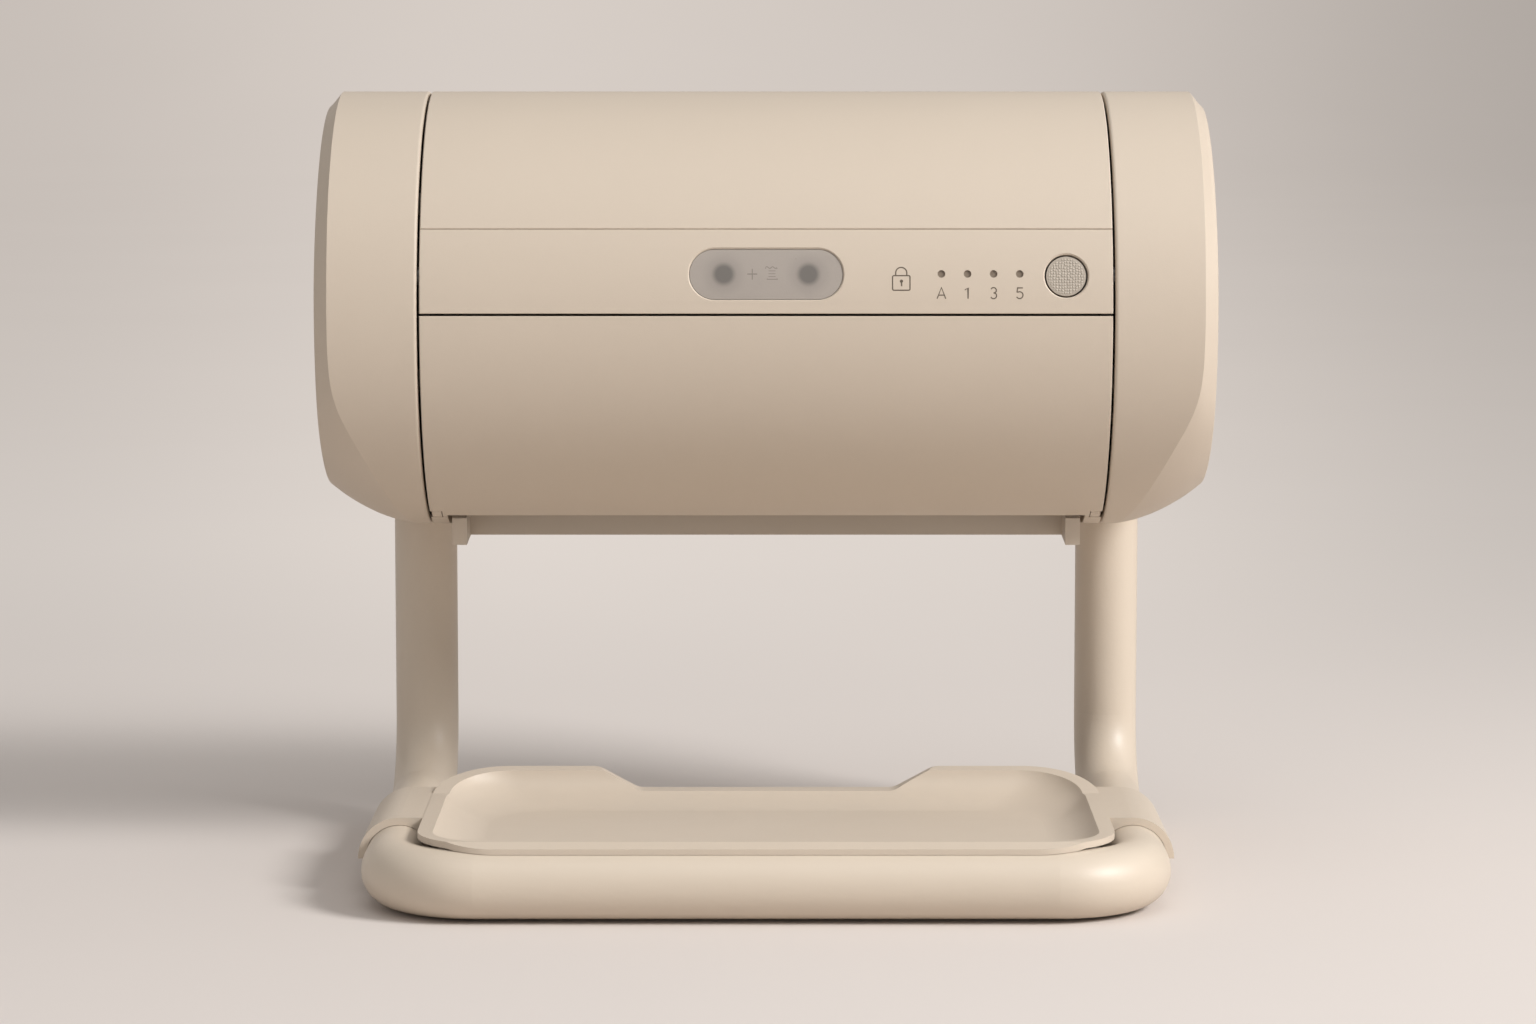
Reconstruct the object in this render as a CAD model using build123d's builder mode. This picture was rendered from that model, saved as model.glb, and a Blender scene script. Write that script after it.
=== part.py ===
from build123d import *
import os
from math import acos, cos, degrees, hypot, pi, radians, sin, sqrt, tan

os.makedirs("parts", exist_ok=True)

# Wipes dispenser: a horizontal drum on a bent tube stand, with a catch tray on the base loop.
# The origin is on the floor under the middle of the object. +X is to the right, +Y to the back.
# Angles round the drum run from the back (0) over the top (90) to the front (180), in degrees.

# Drum
drum_radius = 70.3
axis_height = 178.3
cover_half = 108.1
seam_gap = 0.8
cover_wall = 2.4
shell_wall = 2.8
edge_round = 0.6
cover_round = 0.3
rim_round = 1.0
lid_hinge_angle = 28.0
lid_seam = 0.15
panel_top_angle = 155.5
panel_bottom_angle = 177.43
door_seam = 0.75
door_hinge_angle = 247.5
shell_front_angle = 270.0

# End caps
cap_wall = 2.4
cap_reach = 141.3
cap_bevel = 4.3
scoop_radius = 78.5
scoop_length = 80.0
scoop_clear = 0.2
bevel_blend = 40.0
cap_post_radius = 3.5
cap_post_circle = 56.0
cap_post_angles = (40.0, 140.0, 200.0, 340.0)

shell_post_angles = (15.0, -38.0, -75.0)
shell_post_radius = 4.2
shell_post_length = 14.0

# Bulkheads
bulkhead_wall = 3.0
bulkhead_inset = 0.6
ledge_depth = 3.5
ledge_wall = 2.0
ledge_near = 34.0
ledge_far = 52.0
seal_width = 1.6
seal_depth = 1.4
seal_crush_gap = 0.15
seal_margin = 3.0

# Hinges
pin_radius = 1.2
running_gap = 0.05
lid_barrel_radius = 3.0
lid_barrel_proud = 0.6
lid_hinge_centre = 60.0
lid_knuckle = 9.6
knuckle_gap = 0.4
door_bead_radius = 2.5
door_pin_bite = 10.0
door_ear_gap = 0.3
hinge_block_radius = 3.35

# Control panel
panel_back = 65.5
feature_lift = -1.0
window_length = 48.0
window_width = 16.0
window_sink = 0.5
seat_chamfer = 0.45
fit_gap = 0.15
flange_wall = 1.0
flange_border = 0.8
led_first = 54.6
led_pitch = 8.13
led_count = 4
led_radius = 1.2
button_x = 93.5
button_lift = -1.6
button_hole_radius = 6.75
button_radius = 6.2
button_dish = 0.6
button_travel = 0.8
button_lip = 0.5
sensor_spacing = 26.4
sensor_radius = 3.2
tab_width = 3.4
tab_half = 6.0
tab_back = 56.0

# Control board and its cover
board_wall = 1.6
board_face = 57.0
board_left = -34.0
board_right = 98.0
board_low = -9.5
board_high = 9.0
board_post_radius = 2.5
post_inset = 4.0
button_post_offset = 13.0
post_bore = 6.8
board_screw_bite = 6.0
chip_wall = 1.2
chip_side = 9.0
small_chip_side = 6.0
chip_spots = ((-6.0, 1.0), (48.0, 1.0), (66.0, -2.0))
main_chip_x = 20.0
assembly_gap = 0.4
cover_back = 52.0
board_cover_wall = 1.6
switch_size = 6.0
switch_height = 3.6
plunger_radius = 1.6
plunger_bore_gap = 0.1
switch_base = 0.4

# Fasteners
screw_radius = 1.5
screw_clearance = 0.2
screw_head_radius = 2.8
screw_head = 2.2
screw_length = 9.0
fine_screw_radius = 1.0
fine_head_radius = 1.9
fine_head = 1.2
countersink_sink = 0.6
countersink_depth = 1.3

# Stand
tube_radius = 10.5
tube_wall = 1.5
post_x = 114.9
post_back = 45.0
front_tube = 123.0
post_bend = 27.0
corner_bend = 26.0
pad_proud = 0.8
pad_length = 22.0
pad_width = 7.0
pad_wrap = 1.4
socket_wall = 2.0
socket_low = 73.0
tube_top = 64.6
insert_length = 18.0
stand_bolt_radius = 2.5
stand_bolt_head_radius = 4.25
stand_bolt_head = 3.5
stand_bolt_bite = 16.0
stand_boss_radius = 5.5
stand_boss_top = 44.0

# Catch tray, heights above the floor
tray_half = 107.4
tray_front = 127.0
tray_back = 16.0
tray_front_corner = 24.0
tray_back_corner = 24.0
tray_wall = 2.0
tray_floor = 18.2
lip_height = 22.9
crest_height = 24.4
crest_run = 4.5
wing_height = 29.6
wing_start = 38.0
dip_height = 22.6
dip_half = 41.5
dip_slope = 13.0
dip_round = 7.0
dip_shoulder = 12.0
dip_depth = 24.0
rim_width = 5.3
front_rim = 6.0
back_rim = 6.0
dish_front_slope = 26.0
dish_side_slope = 14.0
dish_back_slope = 14.0
dish_front_corner = 15.0
dish_back_corner = 20.0
dish_corner_growth = 2.0
dish_levels = ((0.0, 0.0), (0.3, 0.6), (0.85, 3.8), (1.0, 5.6), (1.15, 16.4))
tray_past = 8.0
saddle_gap = 0.15
saddle_wall = 2.3
saddle_front = 81.0
saddle_back = 25.0
saddle_overlap = 4.7

# Outlet guide
rail_width = 5.6
guide_side_gap = 1.0
guide_cheek_wall = 4.7
guide_front = 21.8
guide_cheek_top = 66.6
guide_cheek_low = 75.3
guide_bar_low = 74.3
guide_wall = 2.4
guide_inner_top = 64.6
guide_flange = 10.0
guide_cut_angle = 30.0
guide_screw_inset = 22.5
guide_screw_back = 5.5

# Pack cradle
cradle_height = -28.0
cradle_wall = 2.0
cradle_floor_half = 52.0
cradle_rim_half = 62.0
cradle_rise = 14.0
cradle_hole_length = 110.0
cradle_hole_width = 34.0

# Feed rollers and drive
roller_height = -42.0
nip_front = 11.0
nip_gap = 0.4
drive_radius = 12.0
sleeve_wall = 2.5
sleeve_length = 40.0
sleeve_pitch = 55.0
drive_half = 88.0
drive_shaft_radius = 3.0
pinch_radius = 9.0
pinch_half = 86.0
pinch_shaft_radius = 2.5
bush_wall = 2.0
bush_flange = 1.5
bush_flange_wall = 1.0
clip_wall = 0.8
clip_rim = 1.8
gear_module = 1.2
drive_teeth = 36
pinion_teeth = 12
pressure_angle = 25.0
addendum = 0.9
dedendum = 1.2
backlash = 0.16
flank_steps = 4
gear_width = 6.0
gear_gap = 4.0
hub_extra = 2.5
hub_radius = 7.5
web_hole_circle = 13.5
web_hole_radius = 3.6
web_holes = 6
motor_radius = 12.0
motor_length = 42.0
motor_nose_radius = 4.0
motor_shaft_radius = 2.0
motor_shaft_bite = 10.0
motor_screw_spacing = 17.0

# Batteries, charge inlet and closure magnets
cell_share = 0.309
cell_length = 65.0
cell_height = 12.0
holder_wall = 1.6
holder_rise = 6.0
port_x = -70.0
port_angle = -36.0
port_width = 9.0
port_height = 3.2
port_shell = 0.4
port_board_width = 18.0
port_board_height = 12.0
port_post = 4.0
magnet_radius = 2.5
magnet_wall = 1.4
magnet_circle = 62.5
magnet_angle_lid = 150.5
magnet_angle_door = 185.5
lug_wall = 2.2
lug_gap = 0.4
lug_half_angle = 3.4
lug_inner = 59.0

# How far a cut runs past what it cuts, and how finely the caps' bevel is made
past = 1.0
bevel_stations = 8
bevel_points = 36

# Sizes that follow
rim_x = cover_half + seam_gap
cover_inner = drum_radius - cover_wall
shell_inner = drum_radius - shell_wall
bulkhead_out = cover_half - bulkhead_inset
bulkhead_in = bulkhead_out - bulkhead_wall
front_reach = front_tube + tube_radius
axis_y = (front_reach - drum_radius) / 2
tube_height = pad_proud + tube_radius
axis_point = Vector(0, axis_y, axis_height)
lid_pivot_radius = drum_radius + lid_barrel_proud
door_pivot_radius = drum_radius - door_bead_radius
panel_angle = (panel_top_angle + panel_bottom_angle) / 2
panel_half_angle = (panel_bottom_angle - panel_top_angle) / 2
outward = Vector(0, cos(radians(panel_angle)), sin(radians(panel_angle)))
drive_y = -nip_front + nip_gap / 2 + drive_radius
pinch_y = -nip_front - nip_gap / 2 - pinch_radius
centre_distance = gear_module * (drive_teeth + pinion_teeth) / 2
motor_y = drive_y + centre_distance
gear_start = bulkhead_out + gear_gap
shell_post_circle = shell_inner - screw_head_radius - assembly_gap
lug_out = bulkhead_in - magnet_wall - lug_gap
outlet_half = cover_half - rail_width
guide_cheek_out = outlet_half - guide_side_gap
guide_cheek_in = guide_cheek_out - guide_cheek_wall
guide_screw_x = outlet_half - guide_screw_inset
cell_radius = (cap_reach - cap_wall - bulkhead_out - holder_wall) * cell_share


def section(x):
    """Plane across the drum at x: its own x runs to the back and its own y upwards."""
    return Plane(origin=(x, axis_y, axis_height), x_dir=(0, 1, 0), z_dir=(1, 0, 0))


def face_plane(distance):
    """Plane parallel to the panel's back: x to the right, y up the panel, z outwards."""
    return Plane(origin=axis_point + outward * distance, x_dir=(1, 0, 0), z_dir=outward)


def polar(radius, angle):
    return (radius * cos(radians(angle)), radius * sin(radians(angle)))


def arc_angle(length):
    """Angle that a length takes on the drum's surface."""
    return degrees(length / drum_radius)


def band(inner, outer, start, end):
    """Sector of a ring, from one angle to a larger one."""
    with BuildSketch(Plane.XY) as sector:
        with BuildLine():
            CenterArc((0, 0), outer, start, end - start)
            Line(polar(outer, end), polar(inner, end))
            CenterArc((0, 0), inner, start, end - start)
            Line(polar(outer, start), polar(inner, start))
        make_face()
    return sector.sketch


def rod(radius, low, high, centre):
    """Round bar along X between two x positions, centred at a point of the drum's section."""
    with BuildPart() as bar:
        with BuildSketch(section(low)):
            with Locations(centre):
                Circle(radius)
        extrude(amount=high - low)
    return bar.part


def mirrored_rod(radius, near, far, centre, side):
    """Round bar along X on one side of the centre plane."""
    return rod(radius, min(side * near, side * far), max(side * near, side * far), centre)


def rounded_ends(piece, radius):
    """Outer edges of a shell part: where its outer surface meets its ends."""
    arcs = piece.edges().filter_by(GeomType.CIRCLE).filter_by(lambda e: abs(e.radius - radius) < 1e-6)
    lines = piece.edges().filter_by(GeomType.LINE).filter_by(
        lambda e: abs(hypot(e.center().Y - axis_y, e.center().Z - axis_height) - radius) < 1e-6)
    return arcs + lines


def bevel_outline(x, shrink):
    """Points of the cap's bevel at x: a cone at the front and top that blends into a scoop below."""
    cone = drum_radius - cap_bevel + cap_reach - x - shrink
    lift = scoop_radius - drum_radius + (x + shrink - rim_x) ** 2 / scoop_length - scoop_clear
    points = []
    for step in range(bevel_points):
        turn = 2 * pi * step / bevel_points
        scoop = -lift * cos(turn) + sqrt(scoop_radius ** 2 - (lift * sin(turn)) ** 2)
        radius = (cone ** -bevel_blend + scoop ** -bevel_blend) ** (-1 / bevel_blend) - shrink
        points.append((radius * sin(turn), -radius * cos(turn)))
    return points


def cap_form(side, shrink):
    """Outer form of an end cap, or the form of its hollow when shrunk by the wall."""
    start = rim_x - (past if shrink else 0.0)
    end = cap_reach - shrink
    with BuildPart() as form:
        for step in range(bevel_stations):
            x = start - past + (end - start + 2 * past) * step / (bevel_stations - 1)
            with BuildSketch(section(side * x)):
                with BuildLine():
                    Spline(*bevel_outline(x, shrink), periodic=True)
                make_face()
        loft()
        add(mirrored_rod(drum_radius - shrink, start, end, (0, 0), side), mode=Mode.INTERSECT)
    return form.part


def gear_profile(teeth, phase):
    """Involute gear outline, with a tooth centred at the phase angle."""
    pitch_radius = gear_module * teeth / 2
    base = pitch_radius * cos(radians(pressure_angle))
    root = pitch_radius - dedendum * gear_module
    tip = pitch_radius + addendum * gear_module
    slope = radians(pressure_angle)
    half_tooth = (pi * gear_module / 2 - backlash) / 2 / pitch_radius + tan(slope) - slope
    flank = []
    for step in range(flank_steps + 1):
        radius = base + (tip - base) * step / flank_steps
        roll = acos(base / radius)
        flank.append((radius, half_tooth - (tan(roll) - roll)))
    if root < base:
        flank.insert(0, (root, half_tooth))
    points = []
    for tooth in range(teeth):
        centre = radians(phase) + 2 * pi * tooth / teeth
        points += [(r * cos(centre - a), r * sin(centre - a)) for r, a in flank]
        points += [(r * cos(centre + a), r * sin(centre + a)) for r, a in reversed(flank)]
    with BuildSketch(Plane.XY) as outline:
        with BuildLine():
            Polyline(*points, close=True)
        make_face()
    return outline.sketch


def screw_along_x(x, centre, direction, length):
    """Pan-head screw: head outside the face at x, shank the given way along X."""
    with BuildPart() as screw:
        add(rod(screw_head_radius, min(x, x - direction * screw_head),
                max(x, x - direction * screw_head), centre))
        add(rod(screw_radius, min(x, x + direction * length), max(x, x + direction * length), centre))
    return screw.part


def guide_screw_set():
    """The guide's three countersunk screws, from below, sunk under the drum's surface."""
    foot = axis_height - drum_radius + countersink_sink
    with BuildPart() as screws:
        for x in (-guide_screw_x, 0, guide_screw_x):
            with BuildSketch(Plane.XZ.offset(-axis_y - guide_screw_back)):
                with BuildLine():
                    Polyline((x, foot), (x + screw_head_radius, foot),
                             (x + screw_radius, foot + countersink_depth),
                             (x + screw_radius, axis_height - guide_inner_top),
                             (x, axis_height - guide_inner_top), close=True)
                make_face()
            revolve(axis=Axis((x, axis_y + guide_screw_back, 0), (0, 0, 1)))
    return screws.part


def hinge_block(near, far, side):
    """Round block about the door's pivot, flush with the drum."""
    with BuildPart() as block:
        add(mirrored_rod(hinge_block_radius, near, far, door_pivot, side))
        add(mirrored_rod(drum_radius, near - past, far + past, (0, 0), side), mode=Mode.INTERSECT)
    return block.part


lid_pivot = polar(lid_pivot_radius, lid_hinge_angle)
door_pivot = polar(door_pivot_radius, door_hinge_angle)
drive_centre = (drive_y, roller_height)
pinch_centre = (pinch_y, roller_height)
motor_centre = (motor_y, roller_height)
lid_rear_angle = lid_hinge_angle + arc_angle(lid_seam)
lid_front_angle = panel_top_angle - arc_angle(lid_seam)
door_top_angle = panel_bottom_angle + arc_angle(door_seam)
lid_hinge_xs = (-lid_hinge_centre, lid_hinge_centre)
hinge_pitch = lid_knuckle + knuckle_gap
barrel_clear = lid_barrel_radius + knuckle_gap
pin_reach = hinge_pitch + lid_knuckle / 2

# Top lid
with BuildPart() as top_lid:
    with BuildSketch(section(-cover_half)):
        add(band(cover_inner, drum_radius, lid_rear_angle, lid_front_angle))
    extrude(amount=2 * cover_half)
    fillet(rounded_ends(top_lid, drum_radius), cover_round)
    for x in lid_hinge_xs:
        for shift in (-hinge_pitch, hinge_pitch):
            low = x + shift - hinge_pitch / 2
            add(rod(barrel_clear, low, low + hinge_pitch, lid_pivot), mode=Mode.SUBTRACT)
        low = x - lid_knuckle / 2
        add(rod(lid_barrel_radius, low, low + lid_knuckle, lid_pivot))
        add(rod(pin_radius + running_gap, x - pin_reach, x + pin_reach, lid_pivot), mode=Mode.SUBTRACT)
    for side in (-1, 1):
        start = side * (lug_out - lug_wall)
        with BuildSketch(section(start)):
            add(band(lug_inner, cover_inner + cover_wall / 2,
                     magnet_angle_lid - lug_half_angle, magnet_angle_lid + lug_half_angle))
        extrude(amount=side * lug_wall)
        add(mirrored_rod(magnet_radius, lug_out - magnet_wall, lug_out,
                         polar(magnet_circle, magnet_angle_lid), side), mode=Mode.SUBTRACT)
top_lid.part.label = "top_lid"
export_step(top_lid.part, "parts/top_lid.step")

# Rear shell: the fixed back and underside, with rails beside the outlet
with BuildPart() as rear_shell:
    with BuildSketch(section(-cover_half)):
        add(band(shell_inner, drum_radius, shell_front_angle - 360,
                 lid_hinge_angle - arc_angle(lid_seam)))
    extrude(amount=2 * cover_half)
    fillet(rounded_ends(rear_shell, drum_radius).filter_by(
        lambda e: e.center().Z > axis_height - drum_radius + cover_round), cover_round)
    for side in (-1, 1):
        with BuildSketch(section(side * (outlet_half + door_ear_gap))):
            add(band(shell_inner, drum_radius, door_hinge_angle, shell_front_angle))
        extrude(amount=side * (cover_half - outlet_half - door_ear_gap))
        add(mirrored_rod(hinge_block_radius + door_ear_gap, outlet_half, rim_x, door_pivot, side),
            mode=Mode.SUBTRACT)
        for angle in shell_post_angles:
            start = bulkhead_in - shell_post_length
            add(mirrored_rod(shell_post_radius, start, bulkhead_in, polar(shell_post_circle, angle), side))
            add(mirrored_rod(screw_radius, start + screw_clearance, bulkhead_in,
                             polar(shell_post_circle, angle), side), mode=Mode.SUBTRACT)
    for x in lid_hinge_xs:
        add(rod(barrel_clear, x - hinge_pitch / 2, x + hinge_pitch / 2, lid_pivot), mode=Mode.SUBTRACT)
        for shift in (-hinge_pitch, hinge_pitch):
            low = x + shift - lid_knuckle / 2
            add(rod(lid_barrel_radius, low, low + lid_knuckle, lid_pivot))
        add(rod(pin_radius, x - pin_reach, x + pin_reach, lid_pivot), mode=Mode.SUBTRACT)
    # Charge inlet, and the posts that carry its board
    port_normal = Vector(0, cos(radians(port_angle)), sin(radians(port_angle)))
    port_back = shell_inner - port_post
    with BuildSketch(Plane(origin=axis_point + port_normal * port_back + Vector(port_x, 0, 0),
                           x_dir=(1, 0, 0), z_dir=port_normal)):
        Rectangle(port_width + 2 * fit_gap, port_height + 2 * fit_gap)
    extrude(amount=drum_radius - port_back + shell_wall, mode=Mode.SUBTRACT)
    with BuildSketch(Plane(origin=axis_point + port_normal * port_back + Vector(port_x, 0, 0),
                           x_dir=(1, 0, 0), z_dir=port_normal)):
        with GridLocations(port_board_width - port_post, port_board_height - port_post, 2, 2):
            Circle(port_post / 2)
    extrude(amount=port_post)
    # Countersunk holes for the guide's screws
    add(guide_screw_set(), mode=Mode.SUBTRACT)
    with BuildSketch(Plane.XY.offset(axis_height - drum_radius - shell_wall)):
        for x in (-guide_screw_x, 0, guide_screw_x):
            with Locations((x, axis_y + guide_screw_back)):
                Circle(screw_head_radius)
    extrude(amount=shell_wall + countersink_sink, mode=Mode.SUBTRACT)
rear_shell.part.label = "rear_shell"
export_step(rear_shell.part, "parts/rear_shell.step")

with BuildPart() as lid_hinge_pins:
    for x in lid_hinge_xs:
        add(rod(pin_radius, x - pin_reach, x + pin_reach, lid_pivot))
lid_hinge_pins.part.label = "lid_hinge_pins"
export_step(lid_hinge_pins.part, "parts/lid_hinge_pins.step")


# Front door
ear_start = outlet_half + door_ear_gap
ear_end = bulkhead_in - door_ear_gap
door_corner_angle = door_hinge_angle - arc_angle(hinge_block_radius + 2 * door_ear_gap)
with BuildPart() as front_door:
    with BuildSketch(section(-cover_half)):
        add(band(cover_inner, drum_radius, door_top_angle, door_corner_angle))
    extrude(amount=2 * cover_half)
    with BuildSketch(section(-ear_end)):
        add(band(cover_inner, drum_radius, door_corner_angle, door_hinge_angle))
    extrude(amount=2 * ear_end)
    fillet(rounded_ends(front_door, drum_radius).filter_by(
        lambda e: e.center().Z > axis_height + door_pivot[1]), cover_round)
    for side in (-1, 1):
        add(hinge_block(ear_start, ear_end, side))
    add(rod(door_bead_radius, -ear_start, ear_start, door_pivot))
    for side in (-1, 1):
        add(mirrored_rod(pin_radius, ear_end - door_pin_bite, ear_end, door_pivot, side),
            mode=Mode.SUBTRACT)
        start = side * (lug_out - lug_wall)
        with BuildSketch(section(start)):
            add(band(lug_inner, cover_inner + cover_wall / 2,
                     magnet_angle_door - lug_half_angle, magnet_angle_door + lug_half_angle))
        extrude(amount=side * lug_wall)
        add(mirrored_rod(magnet_radius, lug_out - magnet_wall, lug_out,
                         polar(magnet_circle, magnet_angle_door), side), mode=Mode.SUBTRACT)
front_door.part.label = "front_door"
export_step(front_door.part, "parts/front_door.step")

with BuildPart() as door_pins:
    for side in (-1, 1):
        add(mirrored_rod(pin_radius, ear_end - door_pin_bite, bulkhead_out, door_pivot, side))
door_pins.part.label = "door_pins"
export_step(door_pins.part, "parts/door_pins.step")

# Magnets: in the lid's and the door's lugs, and against the bulkheads
with BuildPart() as lid_magnets:
    for side in (-1, 1):
        add(mirrored_rod(magnet_radius, lug_out - magnet_wall, lug_out,
                         polar(magnet_circle, magnet_angle_lid), side))
lid_magnets.part.label = "lid_magnets"
export_step(lid_magnets.part, "parts/lid_magnets.step")

with BuildPart() as door_magnets:
    for side in (-1, 1):
        add(mirrored_rod(magnet_radius, lug_out - magnet_wall, lug_out,
                         polar(magnet_circle, magnet_angle_door), side))
door_magnets.part.label = "door_magnets"
export_step(door_magnets.part, "parts/door_magnets.step")

with BuildPart() as catch_magnets:
    for side in (-1, 1):
        for angle in (magnet_angle_lid, magnet_angle_door):
            add(mirrored_rod(magnet_radius, bulkhead_in - magnet_wall, bulkhead_in,
                             polar(magnet_circle, angle), side))
catch_magnets.part.label = "catch_magnets"
export_step(catch_magnets.part, "parts/catch_magnets.step")

# Bulkheads, their bushes and the seals on their rims
drive_bush_radius = drive_shaft_radius + bush_wall
pinch_bush_radius = pinch_shaft_radius + bush_wall
tab_middle = (panel_back + tab_back) / 2
tab_screw_point = polar(tab_middle, panel_angle)
motor_screw_centres = [(motor_y, roller_height - motor_screw_spacing / 2),
                       (motor_y, roller_height + motor_screw_spacing / 2)]
for side, side_name in ((-1, "left"), (1, "right")):
    with BuildPart() as bulkhead:
        add(mirrored_rod(shell_inner, bulkhead_in, bulkhead_out, (0, 0), side))
        with BuildSketch(face_plane(panel_back)):
            Rectangle(3 * cover_half, drum_radius)
        extrude(amount=drum_radius, mode=Mode.SUBTRACT)
        add(hinge_block(bulkhead_in, bulkhead_out, side))
        with BuildSketch(section(side * (bulkhead_in - ledge_depth))):
            for middle in (-(ledge_near + ledge_far) / 2, (ledge_near + ledge_far) / 2):
                with Locations((middle, cradle_height - ledge_wall / 2)):
                    Rectangle(ledge_far - ledge_near, ledge_wall)
        extrude(amount=side * (ledge_depth + bulkhead_wall / 2))
        with BuildSketch(section(side * (bulkhead_in + (bulkhead_wall - seal_width) / 2))):
            add(band(shell_inner - seal_depth, drum_radius, lid_hinge_angle + seal_margin,
                     panel_top_angle - seal_margin))
        extrude(amount=side * seal_width, mode=Mode.SUBTRACT)
        holes = [(pin_radius + running_gap, door_pivot), (drive_bush_radius, drive_centre),
                 (pinch_bush_radius, pinch_centre),
                 (screw_radius + screw_clearance, tab_screw_point)]
        holes += [(screw_radius + screw_clearance, polar(shell_post_circle, angle))
                  for angle in shell_post_angles]
        holes += [(screw_radius + screw_clearance, polar(cap_post_circle, angle))
                  for angle in cap_post_angles]
        if side > 0:
            holes += [(motor_nose_radius + screw_clearance, motor_centre)]
            holes += [(screw_radius + screw_clearance, centre) for centre in motor_screw_centres]
        for radius, centre in holes:
            add(mirrored_rod(radius, bulkhead_in - past, bulkhead_out + past, centre, side),
                mode=Mode.SUBTRACT)
    bulkhead.part.label = side_name + "_bulkhead"
    export_step(bulkhead.part, "parts/" + side_name + "_bulkhead.step")

with BuildPart() as rim_seals:
    for side in (-1, 1):
        with BuildSketch(section(side * (bulkhead_in + (bulkhead_wall - seal_width) / 2))):
            add(band(shell_inner - seal_depth, cover_inner - seal_crush_gap, lid_hinge_angle + seal_margin,
                     panel_top_angle - seal_margin))
        extrude(amount=side * seal_width)
rim_seals.part.label = "rim_seals"
export_step(rim_seals.part, "parts/rim_seals.step")


def bush(shaft_radius, centre, side):
    """Flanged bush in a bulkhead, with its flange on the inner face."""
    with BuildPart() as piece:
        add(mirrored_rod(shaft_radius + bush_wall, bulkhead_in, bulkhead_out, centre, side))
        add(mirrored_rod(shaft_radius + bush_wall + bush_flange, bulkhead_in - bush_flange_wall,
                         bulkhead_in, centre, side))
        add(mirrored_rod(shaft_radius + running_gap, bulkhead_in - bush_flange_wall, bulkhead_out,
                         centre, side), mode=Mode.SUBTRACT)
    return piece.part


with BuildPart() as drive_bushes:
    for side in (-1, 1):
        add(bush(drive_shaft_radius, drive_centre, side))
drive_bushes.part.label = "drive_bushes"
export_step(drive_bushes.part, "parts/drive_bushes.step")

with BuildPart() as pinch_bushes:
    for side in (-1, 1):
        add(bush(pinch_shaft_radius, pinch_centre, side))
pinch_bushes.part.label = "pinch_bushes"
export_step(pinch_bushes.part, "parts/pinch_bushes.step")


def stand_boss(side, hollow):
    """Boss on a cap's floor that takes the bolt of the stand."""
    with BuildPart() as boss:
        with BuildSketch(Plane.XY.offset(axis_height - drum_radius)):
            with Locations((side * post_x, axis_y + post_back)):
                Circle(stand_boss_radius)
        extrude(amount=drum_radius - stand_boss_top)
        add(hollow, mode=Mode.INTERSECT)
    return boss.part


# End caps
for side, side_name in ((-1, "left"), (1, "right")):
    hollow = cap_form(side, cap_wall)
    with BuildPart() as cap:
        add(cap_form(side, 0))
        fillet(cap.faces().sort_by(Axis.X)[-1 if side > 0 else 0].edges(), edge_round)
        rim = cap.faces().sort_by(Axis.X)[0 if side > 0 else -1]
        fillet(rim.edges(), rim_round)
        add(hollow, mode=Mode.SUBTRACT)
        for angle in cap_post_angles:
            centre = polar(cap_post_circle, angle)
            add(mirrored_rod(cap_post_radius, bulkhead_out, cap_reach - cap_wall / 2, centre, side))
            add(mirrored_rod(screw_radius, bulkhead_out, bulkhead_out + screw_length, centre, side),
                mode=Mode.SUBTRACT)
        add(stand_boss(side, hollow))
        with BuildSketch(Plane.XY.offset(axis_height - drum_radius)):
            with Locations((side * post_x, axis_y + post_back)):
                Circle(stand_bolt_radius + screw_clearance)
        extrude(amount=drum_radius - stand_boss_top, mode=Mode.SUBTRACT)
    cap.part.label = side_name + "_end_cap"
    export_step(cap.part, "parts/" + side_name + "_end_cap.step")


def seat_edges(piece):
    """The panel's outer edges round the window and the button."""
    window = window_length / 2 + past, 0
    button = button_hole_radius + past, button_x
    edges = piece.edges().filter_by(
        lambda e: abs(hypot(e.center().Y - axis_y, e.center().Z - axis_height)) > panel_edge + past)
    return [e for e in edges for half, x in (window, button)
            if abs(e.center().X - x) < half and e.bounding_box().size.X < 2 * half]


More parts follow.
